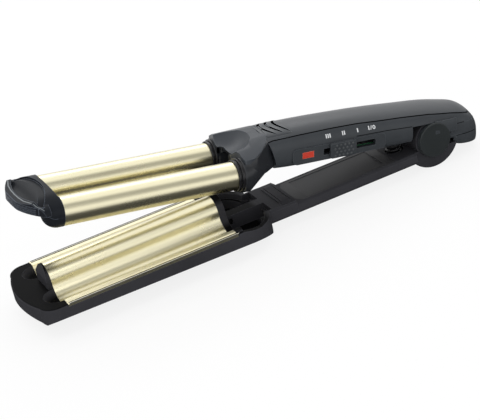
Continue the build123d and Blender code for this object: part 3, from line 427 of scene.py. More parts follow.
def moulded(name, dark, light, roughness, grain=2500.0, depth=0.00002, round_edge=0.00035,
            edge_light=1.6, metallic=0.0, coat=0.0, specular=0.5, cloud=45.0, top=None):
    """A moulded or painted surface with grain, slow cloud and rounded edges, lightened as wear and
    as a painted highlight.

    grain and cloud are noise scales, depth is the height of the grain and
    round_edge the radius of the edges, both in metres; without a radius the
    edges stay as they are. edge_light is how many times lighter than the
    light tone the edges are made, partly wear and partly a painted highlight.
    top is a darker colour for the faces that look up: painted shade."""
    made = bpy.data.materials.new(name)
    made.use_nodes = True
    tree = made.node_tree
    bsdf = tree.nodes["Principled BSDF"]
    tone = place_group(tree, CLOUD, {"Dark": (*dark, 1), "Light": (*light, 1), "Scale": cloud})
    colour = tone.outputs["Color"]
    # Painted shade: faces that look up take the darker colour top.
    if top:
        colour = paint_shade_on_tops(tree, colour, top)
    gloss = add_node(tree, "ShaderNodeMapRange", {"To Min": max(0.0, roughness - GLOSS_SPREAD),
                                                  "To Max": roughness + GLOSS_SPREAD})
    height = place_group(tree, GRAIN, {"Scale": grain})
    bump = add_node(tree, "ShaderNodeBump", {"Strength": GRAIN_STRENGTH, "Distance": depth})
    if round_edge:
        edge_colour = tuple(min(1.0, c * edge_light) for c in light) + (1,)
        colour, normal = lighten_edges_wear_and_highlight(tree, colour, edge_colour, round_edge)
        tree.links.new(normal, bump.inputs["Normal"])
    tree.links.new(colour, bsdf.inputs["Base Color"])
    join(tree,
         (tone, "Fac", gloss, "Value"),
         (gloss, "Result", bsdf, "Roughness"),
         (height, "Height", bump, "Height"),
         (bump, "Normal", bsdf, "Normal"))
    bsdf.inputs["Metallic"].default_value = metallic
    bsdf.inputs["Coat Weight"].default_value = coat
    bsdf.inputs["Coat Roughness"].default_value = COAT_ROUGHNESS
    bsdf.inputs["Specular IOR Level"].default_value = specular
    return made


def srgb(r, g, b):
    """A colour given as it looks on screen, 0 to 255, made linear."""
    out = []
    for v in (r, g, b):
        c = v / 255.0
        out.append(c / 12.92 if c <= 0.04045 else ((c + 0.055) / 1.055) ** 2.4)
    return tuple(out)


# %% The finishes
# The tray paints shade on its upward faces near the nose: top is nearly black.
tray_black = moulded("tray_black", srgb(48, 48, 51), srgb(60, 60, 64), 0.45,
                     edge_light=2.0, specular=0.02, top=srgb(13, 13, 14))
lever_rubber = moulded("lever_soft_coat", srgb(48, 48, 50), srgb(62, 62, 64), 0.60,
                       grain=4200.0, depth=0.00005, specular=0.2)
body_black = moulded("handle_black", srgb(47, 50, 54), srgb(60, 64, 68), 0.42,
                     edge_light=2.4, specular=0.3)
shell_charcoal = moulded("top_shell_charcoal", srgb(44, 47, 51), srgb(57, 61, 66), 0.36,
                         edge_light=1.8, specular=0.5)
# The hood, yoke, tip, caps and lamp have their edges lightened most: mostly a painted highlight,
# partly wear.
hood_graphite = moulded("hood_graphite", srgb(46, 50, 55), srgb(62, 66, 72), 0.38,
                        edge_light=3.0, specular=0.3)
yoke_black = moulded("yoke_black", srgb(25, 27, 30), srgb(38, 40, 44), 0.30,
                     edge_light=3.4, specular=0.4)
tip_graphite = moulded("tip_graphite", srgb(21, 23, 27), srgb(33, 36, 41), 0.36,
                       edge_light=8.0, specular=0.08, round_edge=0.0006)
cap_black = moulded("cap_black", srgb(36, 40, 41), srgb(48, 52, 53), 0.38,
                    edge_light=4.0, specular=0.25, round_edge=0.0005)
trim_black = moulded("trim_black", srgb(16, 16, 18), srgb(25, 25, 27), 0.26,
                     edge_light=3.2, specular=0.4)
# Painted highlight: a pale grey for the tip's rim and the grip slots' rims.
edge_highlight_grey = moulded("edge_highlight_grey", srgb(84, 90, 94), srgb(112, 118, 122), 0.40, edge_light=1.2)
# Painted highlight: a lighter grey for the pad's dots, as though their domes were lit.
dot_highlight_grey = moulded("dot_highlight_grey", srgb(62, 66, 68), srgb(78, 82, 84), 0.45, edge_light=1.2)
# Painted highlight: a pale cream line on the plate's lip.
lip_highlight_cream = moulded("lip_highlight_cream", srgb(206, 204, 190), srgb(222, 220, 206), 0.45, edge_light=1.0)
# Painted shade: near black for the seams, the grip slots and the gap beside the plate, standing
# for the shadow in them.
gap_shade_black = moulded("painted_gap_shade", srgb(5, 5, 6), srgb(10, 10, 11), 0.50,
                     edge_light=1.2, specular=0.0)
champagne = moulded("champagne_coat", srgb(226, 219, 186), srgb(236, 230, 199), 0.28,
                    grain=3800.0, depth=0.000006, metallic=1.0, round_edge=0.0, cloud=30.0)
aluminium = moulded("aluminium_block", srgb(170, 172, 176), srgb(190, 192, 196), 0.42,
                    metallic=1.0, edge_light=1.1)
ceramic = moulded("heater_ceramic", srgb(214, 208, 196), srgb(228, 224, 214), 0.75,
                  grain=3000.0, edge_light=1.0)
steel = moulded("bright_steel", srgb(150, 152, 156), srgb(176, 178, 182), 0.25,
                metallic=1.0, edge_light=1.2)
spring_steel = moulded("spring_steel", srgb(30, 30, 32), srgb(44, 44, 47), 0.34,
                       metallic=0.6, edge_light=1.1)
board_green = moulded("circuit_board", srgb(24, 84, 52), srgb(32, 100, 62), 0.45,
                      edge_light=1.3)
light_plastic = moulded("light_plastic", srgb(214, 212, 204), srgb(230, 228, 222), 0.5,
                        edge_light=1.0)
red_plastic = moulded("red_lamp", srgb(176, 40, 26), srgb(206, 62, 42), 0.22,
                      edge_light=4.5, coat=0.6, round_edge=0.0006)
mark_grey = moulded("mark_print", srgb(206, 208, 210), srgb(224, 226, 228), 0.5, edge_light=1.0)
print("finishes:", len([made for made in bpy.data.materials if made is not paper]))

# %% Which CAD node wears which finish
WEARS = {
    tray_black: ["lower_frame", "plate_front_cap", "plate_rear_collar", "neck_cover"],
    lever_rubber: ["lever_inlay"],
    body_black: ["handle_body", "rear_shell", "rear_base", "switch_panel", "slide_pad",
                 "slide_carrier"],
    cap_black: ["hinge_cap_near", "hinge_cap_far"],
    shell_charcoal: ["handle_top"],
    yoke_black: ["yoke"],
    tip_graphite: ["tip_cap", "tip_lip"],
    trim_black: ["barrel_ring_near", "barrel_ring_far", "bush_retainer", "cord_bush",
                 "slide_switch"],
    champagne: ["wave_plate", "barrel_near", "barrel_far"],
    aluminium: ["plate_clamp", "barrel_sink_near", "barrel_sink_far"],
    ceramic: ["plate_heater", "heater_bed", "barrel_heater_near", "barrel_heater_far"],
    steel: ["hinge_pin", "plate_screws", "board_screws", "rear_screws", "plate_thermostat"],
    spring_steel: ["opening_spring"],
    board_green: ["control_board"],
    light_plastic: ["terminal_block", "thermal_fuse"],
    red_plastic: ["indicator_lens", "indicator_led"],
}
for finish, names in WEARS.items():
    for name in names:
        nodes[name].data.materials.clear()
        nodes[name].data.materials.append(finish)
left = sorted(set(nodes) - {n for names in WEARS.values() for n in names})
print("nodes without a finish:", left)

# %% [markdown]
# ## Tools for new pieces
# Each new piece is modelled in millimetres along the closed arm, where its
# faces are square, and one matrix then puts it into its real place. Two
# habits keep the pieces sound: a loft is a few outlines bridged together,
# and a cut is made by one plane or by one Boolean that is applied at once.

# %% Dressing a piece
SIDES = ((-1, "near"), (1, "far"))      # the switch is on the near side, towards -Y


def dress(obj, finish, body, stands_for=(), crease=35.0):
    """Finish, smooth shading with sharp creases, and the body that carries the piece."""
    obj.data.materials.clear()
    obj.data.materials.append(finish)
    obj.data.shade_smooth()
    obj.data.set_sharp_from_angle(angle=math.radians(crease))
    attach(obj, body)
    if stands_for:
        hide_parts(*stands_for)
    print(obj.name, len(obj.data.polygons), "faces, rides", body)


# %% Outlines and lofts
CIRCLE_STEPS = 64


def outline(bm, points):
    """A closed ring of edges through the given points."""
    verts = [bm.verts.new(p) for p in points]
    return [bm.edges.new((a, b)) for a, b in zip(verts, verts[1:] + verts[:1])]


def circle(bm, x, y, z, radius):
    """A ring of edges around a line along X."""
    angles = [FULL_TURN * i / CIRCLE_STEPS for i in range(CIRCLE_STEPS)]
    return outline(bm, [(x, y + radius * math.cos(a), z + radius * math.sin(a)) for a in angles])


def both_sides(half):
    """A half outline of (y, z) points, mirrored into a whole one."""
    return list(half) + [(-y, z) for y, z in reversed(half) if y > 0]


def loft(bm, rings):
    """Bridges rings of edges one after another and closes both ends."""
    for first, second in zip(rings, rings[1:]):
        bmesh.ops.bridge_loops(bm, edges=first + second)
    for ring in (rings[0], rings[-1]):
        bmesh.ops.edgeloop_fill(bm, edges=ring)
    bmesh.ops.recalc_face_normals(bm, faces=bm.faces)


# %% Cuts, turned shapes and blocks


def slice_off(bm, point, normal):
    """Cuts away what lies on the normal's side of a plane, and closes the cut."""
    cut = bmesh.ops.bisect_plane(bm, geom=bm.verts[:] + bm.edges[:] + bm.faces[:],
                                 plane_co=point, plane_no=normal, clear_outer=True)["geom_cut"]
    bmesh.ops.edgeloop_fill(bm, edges=[e for e in cut if isinstance(e, bmesh.types.BMEdge)])
    bmesh.ops.recalc_face_normals(bm, faces=bm.faces)


def boolean(obj, cutter, operation="DIFFERENCE"):
    """Applies one Boolean at once and removes the cutter."""
    carve = obj.modifiers.new("carve", "BOOLEAN")
    carve.operation, carve.solver, carve.object = operation, "EXACT", cutter
    evaluated = obj.evaluated_get(bpy.context.evaluated_depsgraph_get())
    solid = bpy.data.meshes.new_from_object(evaluated)
    obj.modifiers.clear()
    obj.data = solid
    bpy.data.objects.remove(cutter)


def turned(bm, profile, centre, steps):
    """Spins a profile of (x, radius) points about a line along X through the centre."""
    y, z = centre
    verts = [bm.verts.new((x, y, z + r)) for x, r in profile]
    edges = [bm.edges.new(pair) for pair in zip(verts, verts[1:])]
    bmesh.ops.spin(bm, geom=verts + edges, cent=(0, y, z), axis=(1, 0, 0), dvec=(0, 0, 0),
                   angle=FULL_TURN, steps=steps, use_merge=True)
    bmesh.ops.remove_doubles(bm, verts=bm.verts, dist=0.001)
    bmesh.ops.recalc_face_normals(bm, faces=bm.faces)


def block(name, low, high, round_edges, along):
    """A box between two corners, with the edges along one direction rounded."""
    bm = bmesh.new()
    bmesh.ops.create_cube(bm, size=1.0)
    low, high = Vector(low), Vector(high)
    bmesh.ops.scale(bm, vec=high - low, verts=bm.verts)
    bmesh.ops.translate(bm, vec=(low + high) / 2, verts=bm.verts)
    axis = "xyz".index(along)
    lying = [e for e in bm.edges
             if abs((e.verts[0].co - e.verts[1].co).normalized()[axis]) > 0.9]
    bmesh.ops.bevel(bm, geom=lying, offset=round_edges, offset_type="OFFSET", affect="EDGES",
                    segments=5, profile=0.5, material=-1)
    return new_mesh_object(name, bm)


# %% [markdown]
# ## The yoke and its hood
# The two barrels meet in a yoke: a faceted black casting with a graphite hood
# over it, a thumb scoop in its top and a deep notch between two round cups.
# A loft through three half outlines gives the facets, planes cut the flanks
# and the front corners, and Booleans carve the scoop and the notch. The
# hood is the same form again, a little larger, kept only inside its plan.

# %% Yoke form
YOKE_HALVES = (
    (-144.0, ((0, 18.8), (11.7, 18.6), (19.7, 17.6), (26.6, 14.3),
              (29.3, 9.0), (30.2, 5.0), (29.6, 1.0), (0, -1.5))),
    (-132.0, ((0, 21.2), (10.5, 20.8), (18.0, 18.8), (25.2, 14.8),
              (27.4, 9.0), (26.9, 6.2), (25.6, 2.2), (0, -0.3))),
    (-112.0, ((0, 24.6), (8.2, 23.5), (14.2, 20.2), (17.3, 15.8),
              (18.1, 9.0), (18.2, 6.0), (17.4, 4.2), (0, 2.4))))
YOKE_HALF_WIDTH = 29
YOKE_FRONT, YOKE_CORNER = Vector((-143.5, 11.0, 0)), Vector((-140.2, 28.0, 0))
FLANK = (Vector((-132.8, 26.2, 14.0)), Vector((-124.3, 23.0, 0.6)), Vector((-119.4, 15.2, 20.4)))
JOINT_LOW, JOINT_HIGH = Vector((-115.3, 0, 5.7)), Vector((-119.8, 0, 21.0))
SCOOP_CENTRE, SCOOP_RADIUS, SCOOP_SQUEEZE = Vector((-141.8, 0, 36.4)), 24.8, 0.76
NOTCH_HALF, NOTCH_BACK, NOTCH_DEEP, NOTCH_ROOF = 8.4, -139.6, -136.5, 10.6
NOTCH_FRONT, NOTCH_FLOOR, LOW_NOTCH_FLOOR, NOTCH_SKY = -155, -10, -12, 30
YOKE_GROW = -0.05      # keeps the shown yoke just inside the hood and the cups


def yoke_form(grow, behind):
    """The faceted form, grown outwards by grow; behind keeps what lies past the handle's joint."""
    bm = bmesh.new()
    rings = []
    for x, half in YOKE_HALVES:
        rings.append(outline(bm, [(x, y * (1 + grow / YOKE_HALF_WIDTH), z + grow)
                                  for y, z in both_sides(half)]))
    loft(bm, rings)
    for side in (1, -1):
        flip = Vector((1, side, 1))
        a, b, c = (p * flip for p in FLANK)
        facet = (b - a).cross(c - a).normalized()
        facet *= 1 if facet.y * side > 0 else -1
        slice_off(bm, a + facet * grow * 0.5, facet)
        front, corner = YOKE_FRONT * flip, YOKE_CORNER * flip
        across = (corner - front).cross(Vector((0, 0, 1))).normalized()
        across *= 1 if across.x < 0 else -1
        slice_off(bm, front + across * grow * 0.5, across)
    slice_off(bm, YOKE_FRONT, Vector((-1, 0, 0)))
    if not behind:
        run = JOINT_HIGH - JOINT_LOW
        slice_off(bm, JOINT_LOW, Vector((run.z, 0, -run.x)).normalized())
    return bm


def scoop_cutter(grow):
    """A squeezed ball that leaves the thumb scoop."""
    bm = bmesh.new()
    bmesh.ops.create_uvsphere(bm, u_segments=96, v_segments=64, radius=SCOOP_RADIUS - grow)
    bmesh.ops.scale(bm, vec=(SCOOP_SQUEEZE, 1, 1), verts=bm.verts)
    bmesh.ops.translate(bm, vec=SCOOP_CENTRE, verts=bm.verts)
    return new_mesh_object("scoop_cutter", bm)


def carve_top(obj, grow):
    """Carves the thumb scoop and the notch between the cups."""
    boolean(obj, scoop_cutter(grow))
    boolean(obj, block("notch_cutter", (NOTCH_FRONT, -NOTCH_HALF, NOTCH_FLOOR),
                       (NOTCH_BACK, NOTCH_HALF, NOTCH_SKY), 2.5, "z"))
    boolean(obj, block("low_notch_cutter", (NOTCH_FRONT, -NOTCH_HALF, LOW_NOTCH_FLOOR),
                       (NOTCH_DEEP, NOTCH_HALF, NOTCH_ROOF), 3.0, "x"))


yoke_shell = new_mesh_object("yoke_shell", yoke_form(YOKE_GROW, False))
carve_top(yoke_shell, YOKE_GROW)
yoke_shell.data.transform(ARM_MM)
dress(yoke_shell, yoke_black, "upper_arm", ("yoke",))

# %% Hood
HOOD_PLAN = ((-112.0, 5.5), (-116.5, 8.5), (-121.3, 16.0), (-127.0, 21.4),
             (-133.2, 25.4), (-137.6, 26.8), (-148.0, 27.2))
HOOD_BASE, HOOD_TALL = 9.0, 31.0
HOOD_PROUD = 0.35

bm = bmesh.new()
plan = list(HOOD_PLAN) + [(x, -y) for x, y in reversed(HOOD_PLAN)]
ring = outline(bm, [(x, y, HOOD_BASE) for x, y in plan])
base = bmesh.ops.edgeloop_fill(bm, edges=ring)["faces"]
lifted = bmesh.ops.extrude_face_region(bm, geom=base)["geom"]
raised = [g for g in lifted if isinstance(g, bmesh.types.BMVert)]
bmesh.ops.translate(bm, vec=(0, 0, HOOD_TALL), verts=raised)
bmesh.ops.recalc_face_normals(bm, faces=bm.faces)
plan_block = new_mesh_object("hood_plan", bm)
hood = new_mesh_object("hood", yoke_form(HOOD_PROUD, True))
boolean(hood, plan_block, "INTERSECT")
carve_top(hood, HOOD_PROUD)
hood.data.transform(ARM_MM)
dress(hood, hood_graphite, "upper_arm")

# %% [markdown]
# ## Barrel cups and rings
# Each barrel ends in a round cup with a stepped ring. The ring is a profile
# spun about the barrel's axis. The cup tapers back and inward to the yoke,
# so it is a bridge between circles on different centres.

# %% Cups and rings
BARREL_Y, BARREL_Z, BARREL_HOLE = 19.19, 3.7, 9.2
CUP_RADIUS, CUP_ROUND, CUP_FRONT, CUP_TAPER = 11.4, 0.6, -142.4, -137.4
CUP_CIRCLES = ((CUP_FRONT, BARREL_Y, BARREL_Z, CUP_RADIUS - CUP_ROUND),
               (CUP_FRONT + CUP_ROUND, BARREL_Y, BARREL_Z, CUP_RADIUS),
               (CUP_TAPER, BARREL_Y, BARREL_Z, CUP_RADIUS),
               (-122.0, 13.5, 6.5, 6.5))
RING_FRONT, RING_RADIUS, RING_STEPS = -146.2, 10.9, 72
RING_PROFILE = ((0.5, BARREL_HOLE), (0.0, BARREL_HOLE + 0.3), (0.0, RING_RADIUS - 1.3),
                (0.5, RING_RADIUS - 0.8), (1.3, RING_RADIUS - 0.8), (1.5, RING_RADIUS - 1.4),
                (2.0, RING_RADIUS - 1.4), (2.2, RING_RADIUS - 0.3), (2.6, RING_RADIUS),
                (3.9, RING_RADIUS), (3.9, BARREL_HOLE), (0.5, BARREL_HOLE))

for side, name in SIDES:
    bm = bmesh.new()
    loft(bm, [circle(bm, x, side * y, z, radius) for x, y, z, radius in CUP_CIRCLES])
    bmesh.ops.transform(bm, matrix=ARM_MM, verts=bm.verts)
    dress(new_mesh_object("barrel_cup_" + name, bm), yoke_black, "upper_arm")
    bm = bmesh.new()
    turned(bm, [(RING_FRONT + x, r) for x, r in RING_PROFILE], (side * BARREL_Y, BARREL_Z),
           RING_STEPS)
    bmesh.ops.transform(bm, matrix=ARM_MM, verts=bm.verts)
    dress(new_mesh_object("stepped_ring_" + name, bm), trim_black, "upper_arm",
          ("barrel_ring_" + name,))

# %% [markdown]
# ## Small things on the handle
# The position marks, the seams and the grip slots all lie on a curved skin.
# Each one starts as a flat strip beside the handle, and rays carry its points
# onto the skin, so it follows every curve. It ends up a few hundredths of a
# millimetre proud. The marks are print; the dark seams and slots are painted
# shade that stands for the shadow in a moulded line.

# %% Rays onto the skin
RAY_BACK, RAY_LONG = 20, 60


def skin(*names, place=ARM_MM):
    """A tree of some pieces' faces, in millimetres along the arm that place stands for."""
    verts, faces = [], []
    back_to_mm = place.inverted()
    for name in names:
        mesh = nodes[name].data if name in nodes else bpy.data.objects[name].data
        start = len(verts)
        verts += [back_to_mm @ v.co for v in mesh.vertices]
        faces += [[start + i for i in poly.vertices] for poly in mesh.polygons]
    return BVHTree.FromPolygons(verts, faces)


def press(bm, tree, toward, lift):
    """Carries each point along a direction onto the skin, and removes points that miss it.

    lift is how far the points then stand off the skin."""
    toward = Vector(toward).normalized()
    lost = []
    for vert in bm.verts:
        hit = tree.ray_cast(vert.co - toward * RAY_BACK, toward, RAY_LONG)[0]
        if hit is None:
            lost.append(vert)
        else:
            vert.co = hit - toward * lift
    bmesh.ops.delete(bm, geom=lost, context="VERTS")


def strip(bm, start, end, half_width, side, cuts):
    """A flat strip between two points, its width lying along side."""
    start, end, side = Vector(start), Vector(end), Vector(side).normalized() * half_width
    for vert in bmesh.ops.create_grid(bm, x_segments=cuts, y_segments=1, size=0.5)["verts"]:
        vert.co = start.lerp(end, vert.co.x + 0.5) + side * (2 * vert.co.y)


def ribbon(bm, points, half_width, height):
    """A flat band, level at one height, along a run of (x, y) points.

    half_width is measured along X. As a function, it gives the half width at each y."""
    rows = []
    for way in (-1, 1):
        verts = []
        for x, y in points:
            half = half_width(y) if callable(half_width) else half_width
            verts.append(bm.verts.new((x + way * half, y, height)))
        rows.append([bm.edges.new(pair) for pair in zip(verts, verts[1:])])
    bmesh.ops.bridge_loops(bm, edges=rows[0] + rows[1])


def finish_piece(bm, name, finish, body, crease=35.0, place=ARM_MM):
    """Makes the faces agree on their outside, puts the piece in its place and dresses it."""
    bmesh.ops.recalc_face_normals(bm, faces=bm.faces)
    bmesh.ops.transform(bm, matrix=place, verts=bm.verts)
    dress(new_mesh_object(name, bm), finish, body, crease=crease)


# %% Position marks
MARK_TOWARD = Vector((0, 0.80, -0.60))
MARK_UP = Vector((0, 0.60, 0.80))
MARK_Y, MARK_Z = -16.5, 16.3
MARK_TALL, MARK_BAR, MARK_PITCH, MARK_CUTS = 2.6, 0.40, 1.35, 5
MARK_GROUPS = ((-77.7, 3), (-66.6, 2), (-56.4, 1))      # X of the middle, number of bars
ON_X, STROKE_X, OFF_X = -48.2, -46.5, -44.4
STROKE_LEAN, STROKE_BAR = 0.45, 0.28
RING_WIDE, RING_TALL, RING_LINE, RING_COUNT = 0.80, 1.0, 0.30, 20
STRIP_LIFT = 0.05
handle_skin = skin("handle_body", "handle_top")


def mark_bar(bm, x, lean=0.0, half=MARK_BAR):
    """One printed bar, standing across the arm."""
    middle = Vector((x, MARK_Y, MARK_Z))
    step = MARK_UP * (MARK_TALL / 2) + Vector((lean, 0, 0))
    strip(bm, middle - step, middle + step, half, (1, 0, 0), MARK_CUTS)


def mark_ring(bm, x):
    """A printed oval, as a ring of flat faces."""
    middle = Vector((x, MARK_Y, MARK_Z))
    angles = [FULL_TURN * i / RING_COUNT for i in range(RING_COUNT)]
    rings = []
    for grow in (-RING_LINE, RING_LINE):
        rings += outline(bm, [middle + Vector((1, 0, 0)) * ((RING_WIDE + grow) * math.cos(a)) +
                              MARK_UP * ((RING_TALL + grow) * math.sin(a)) for a in angles])
    bmesh.ops.bridge_loops(bm, edges=rings)


bm = bmesh.new()
for middle, count in MARK_GROUPS:
    for i in range(count):
        mark_bar(bm, middle + MARK_PITCH * (i - (count - 1) / 2))
mark_bar(bm, ON_X)
mark_bar(bm, STROKE_X, STROKE_LEAN, STROKE_BAR)
mark_ring(bm, OFF_X)
press(bm, handle_skin, MARK_TOWARD, STRIP_LIFT)
finish_piece(bm, "position_marks", mark_grey, "upper_arm")

# %% Seams
# The seams below are dark strips of painted shade: the shadow in each moulded line.
SEAMS = (      # name, half width, (x, z) points
    ("shell_seam_", 0.26, ((-121.0, 18.7), (-116.0, 19.6), (-97.0, 20.0), (-76.0, 20.2),
                           (-55.0, 19.9), (-40.0, 19.0), (-24.0, 18.2), (-2.0, 16.7),
                           (14.0, 14.6), (27.0, 12.3), (33.0, 11.0))),
    ("side_line_", 0.22, ((-57.6, 12.9), (-35.0, 12.6), (-14.0, 11.6))),
    ("rear_seam_", 0.24, ((17.4, -0.5), (27.0, -0.1), (37.5, 0.2))),
    ("rear_step_", 0.20, ((12.8, 7.4), (18.0, 7.5), (24.0, 7.6))))
SEAM_FROM_Y, SEAM_CUTS, SEAM_LIFT, SEAM_WELD = 40, 8, 0.04, 0.02
side_skin = skin("handle_body", "handle_top", "rear_shell", "rear_base")

for side, name in SIDES:
    for kind, half_width, points in SEAMS:
        bm = bmesh.new()
        for (x0, z0), (x1, z1) in zip(points, points[1:]):
            strip(bm, (x0, side * SEAM_FROM_Y, z0), (x1, side * SEAM_FROM_Y, z1), half_width,
                  (0, 0, 1), SEAM_CUTS)
        bmesh.ops.remove_doubles(bm, verts=bm.verts, dist=SEAM_WELD)
        press(bm, side_skin, (0, -side, 0), SEAM_LIFT)
        finish_piece(bm, kind + name, gap_shade_black, "upper_arm")

# %% [markdown]
# ## The neck
# A thin skin lies over the handle's neck and swells a little between its two
# ends. Its edges dip under the handle's own surface, so no step shows. The
# three bowed grip slots run across its crest as black strips of painted shade,
# each with a paler rim of painted highlight.

# %% Neck skin
NECK_FRONT, NECK_REAR, NECK_END = -118.3, -103.0, -100.5
NECK_AXIS_Z, NECK_SWING = 9.0, math.radians(46)
NECK_PROUD, NECK_SWELL, NECK_SINK, NECK_THICK = 0.32, 0.35, 0.06, 0.8
NECK_AROUND, NECK_ALONG = 48, 14
FADE_ALONG, FADE_AROUND = 6, 12
NECK_RAY = 40


def neck_radius(x, angle):
    """Distance of the handle's skin from a middle line, in one direction."""
    middle = Vector((x, 0, NECK_AXIS_Z))
    way = Vector((0, math.sin(angle), math.cos(angle)))
    hit = handle_skin.ray_cast(middle + way * NECK_RAY, -way, NECK_RAY)[0]
    return (hit - middle).length


bm = bmesh.new()
grid = bmesh.ops.create_grid(bm, x_segments=NECK_ALONG, y_segments=NECK_AROUND, size=0.5)
for vert in grid["verts"]:
    share, angle = vert.co.x + 0.5, 2 * vert.co.y * NECK_SWING
    x = NECK_FRONT + (NECK_END - NECK_FRONT) * share
    along = (x - NECK_FRONT) / (NECK_REAR - NECK_FRONT)
    front, rear = neck_radius(NECK_FRONT, angle), neck_radius(NECK_REAR, angle)
    fade = min(1.0, (1 - share) * FADE_ALONG, (1 - abs(2 * vert.co.y)) * FADE_AROUND)
    radius = (front + (rear - front) * along + NECK_SWELL * along * (1 - along)
              + NECK_PROUD * fade - NECK_SINK * (1 - fade))
    vert.co = Vector((x, radius * math.sin(angle), NECK_AXIS_Z + radius * math.cos(angle)))
bmesh.ops.solidify(bm, geom=bm.faces[:], thickness=NECK_THICK)
finish_piece(bm, "neck_skin", shell_charcoal, "upper_arm", crease=50.0)

# %% Grip slots
SLOT_CREST, SLOT_PITCH, SLOT_COUNT, SLOT_SWEEP = -117.6, 5.05, 3, 6.3
SLOT_HALF, SLOT_WIDE, SLOT_STEPS, SLOT_FROM_Z = 11.8, 1.0, 24, 60
RIM_WIDER, RIM_LONGER = 0.35, 0.4
neck_skin = skin("handle_top", "hood", "neck_skin")


def grip_bars(name, finish, wide, half, lift):
    """Bowed bars across the handle's crest, rounded off at their ends."""
    bm = bmesh.new()
    for i in range(SLOT_COUNT):
        crest = SLOT_CREST + SLOT_PITCH * i
        across = [half * (2 * k / SLOT_STEPS - 1) for k in range(SLOT_STEPS + 1)]
        points = [(crest + SLOT_SWEEP * (y / SLOT_HALF) ** 2, y) for y in across]
        ribbon(bm, points, lambda y: wide * (1 - abs(y / half) ** 6), SLOT_FROM_Z)
    press(bm, neck_skin, (0, 0, -1), lift)
    finish_piece(bm, name, finish, "upper_arm")


# The paler rims are a painted highlight on the slots' edges, and the black slots are painted shade
# in their recess.
grip_bars("grip_slot_rim_highlights", edge_highlight_grey, SLOT_WIDE + RIM_WIDER, SLOT_HALF + RIM_LONGER, 0.04)
grip_bars("grip_slots", gap_shade_black, SLOT_WIDE, SLOT_HALF, 0.08)

# %% [markdown]
# ## Cheek covers
# Beside the hinge the handle ends in two cheeks, whose corners are hard in the
# frame. A bowed sheet lies over each corner and rolls in softly at its top.
# A grid with its points bent to a formula is enough for that, and solidify
# gives it a wall.

# %% Cheek covers
CHEEK_X, CHEEK_Z = (0.2, 16.6), (4.2, 11.8)
CHEEK_Y, CHEEK_ROLL_Z = 18.22, 6.0
CHEEK_ROLL, CHEEK_BOW, CHEEK_THICK = 0.030, 0.0016, 1.6

for side, name in SIDES:
    bm = bmesh.new()
    for vert in bmesh.ops.create_grid(bm, x_segments=10, y_segments=8, size=0.5)["verts"]:
        x = CHEEK_X[0] + (CHEEK_X[1] - CHEEK_X[0]) * (vert.co.x + 0.5)
        z = CHEEK_Z[0] + (CHEEK_Z[1] - CHEEK_Z[0]) * (vert.co.y + 0.5)
        y = CHEEK_Y - CHEEK_ROLL * max(0.0, z - CHEEK_ROLL_Z) ** 2 - CHEEK_BOW * x * x
        vert.co = Vector((x, side * y, z))
    bmesh.ops.recalc_face_normals(bm, faces=bm.faces)
    bmesh.ops.solidify(bm, geom=bm.faces[:], thickness=CHEEK_THICK * side)
    finish_piece(bm, "cheek_cover_" + name, body_black, "upper_arm",
                 crease=50.0)

# %% [markdown]
# ## Pale edges, painted as highlights
# Moulded edges catch the light as thin pale lines: the front rim of the tip
# cap, and the lip of the wave plate where it meets the tray. A narrow strip
# in a lighter colour paints each of them as a highlight. Beside the pale lip
# lie two dark strips of painted shade: the inner one in the gap that lets the
# plate grow when it is hot, and the outer one along the lip.

# %% Rim of the tip cap
RIM_POINTS = ((-271.8, 28.2), (-275.2, 24.6), (-277.6, 20.0), (-279.4, 14.0), (-280.1, 7.0),
              (-280.3, 0.0))
RIM_HALF, RIM_CUTS, RIM_FROM_Z = 0.34, 3, 40

# The rim line is a painted highlight along the front rim of the tip cap.
bm = bmesh.new()
rim = list(RIM_POINTS) + [(x, -y) for x, y in reversed(RIM_POINTS[:-1])]
ribbon(bm, rim, RIM_HALF, RIM_FROM_Z)
bmesh.ops.subdivide_edges(bm, edges=bm.edges[:], cuts=RIM_CUTS, use_grid_fill=True)
press(bm, skin("tip_cap", "tip_lip"), (0, 0, -1), STRIP_LIFT)
finish_piece(bm, "tip_rim_highlight", edge_highlight_grey, "upper_arm")

# %% Lip of the wave plate
LIP_FRONT, LIP_REAR, LIP_FROM_Z, LIP_CUTS = -267.6, -152.8, 30, 60
# Painted shade in the gap, a painted highlight on the lip's edge, and painted shade outside it.
LIP_LINES = (("lip_gap_shade_", gap_shade_black, 33.1, 0.36),      # name, finish, Y, half width
             ("lip_highlight_", lip_highlight_cream, 34.1, 0.36),
             ("lip_shade_", trim_black, 35.0, 0.46))
plate_skin = skin("wave_plate", "lower_frame", "plate_rear_collar", place=LOWER_MM)

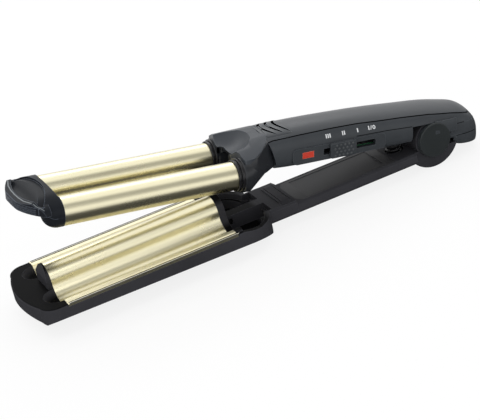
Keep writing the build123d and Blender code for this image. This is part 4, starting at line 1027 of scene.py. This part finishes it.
for side, name in SIDES:
    for kind, finish, y, half_width in LIP_LINES:
        bm = bmesh.new()
        strip(bm, (LIP_FRONT, side * y, LIP_FROM_Z), (LIP_REAR, side * y, LIP_FROM_Z),
              half_width, (0, 1, 0), LIP_CUTS)
        press(bm, plate_skin, (0, 0, -1), STRIP_LIFT)
        finish_piece(bm, kind + name, finish, "lower_arm", place=LOWER_MM)

# %% [markdown]
# ## The slide switch
# The pad carries rows of small raised dots, so a thumb can push it without
# slipping. A dark shutter behind the slot hides the board. Both ride with
# the slide, and the shutter is short enough to clear the handle at each end.

# %% Dots and shutter
pad_low, pad_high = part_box("slide_pad")
print("slide pad", [round((b - a) / MM, 1) for a, b in zip(pad_low, pad_high)], "mm, as it stands")
PAD_X, PAD_Z = (-77.8, -58.8), (1.9, 11.9)
DOT_ROWS, DOT_COLUMNS = 4, 5
DOT_FIRST_X, DOT_PITCH_X, DOT_SHIFT = 3.2, 2.9, 1.2
DOT_FIRST_Z, DOT_PITCH_Z, DOT_MARGIN = 1.7, 2.2, 1.6
DOT_SIZE, DOT_FROM_Y = (0.75, 0.42, 0.75, 1), -40
pad_skin = skin("slide_pad")

# The dots are painted lighter than the pad, as a highlight.
bm = bmesh.new()
for row in range(DOT_ROWS):
    for column in range(DOT_COLUMNS):
        x = PAD_X[0] + DOT_FIRST_X + DOT_PITCH_X * column + (DOT_SHIFT if row % 2 else 0.0)
        z = PAD_Z[0] + DOT_FIRST_Z + DOT_PITCH_Z * row
        if x < PAD_X[1] - DOT_MARGIN:
            start = Vector((x, DOT_FROM_Y, z))
            hit = pad_skin.ray_cast(start, Vector((0, 1, 0)), RAY_LONG)[0]
            place = Matrix.Translation(hit) @ Matrix.Diagonal(DOT_SIZE)
            bmesh.ops.create_icosphere(bm, subdivisions=2, radius=1.0, matrix=place)
finish_piece(bm, "pad_dots", dot_highlight_grey, "slider")

SHUTTER_LOW, SHUTTER_HIGH = (-81.3, -14.38, 4.7), (-61.4, -14.06, 9.3)
shutter = block("slot_shutter", SHUTTER_LOW, SHUTTER_HIGH, 0.12, "x")
shutter.data.transform(ARM_MM)
dress(shutter, trim_black, "slider")

# %% Colour view
bpy.context.scene.view_settings.view_transform = "Standard"
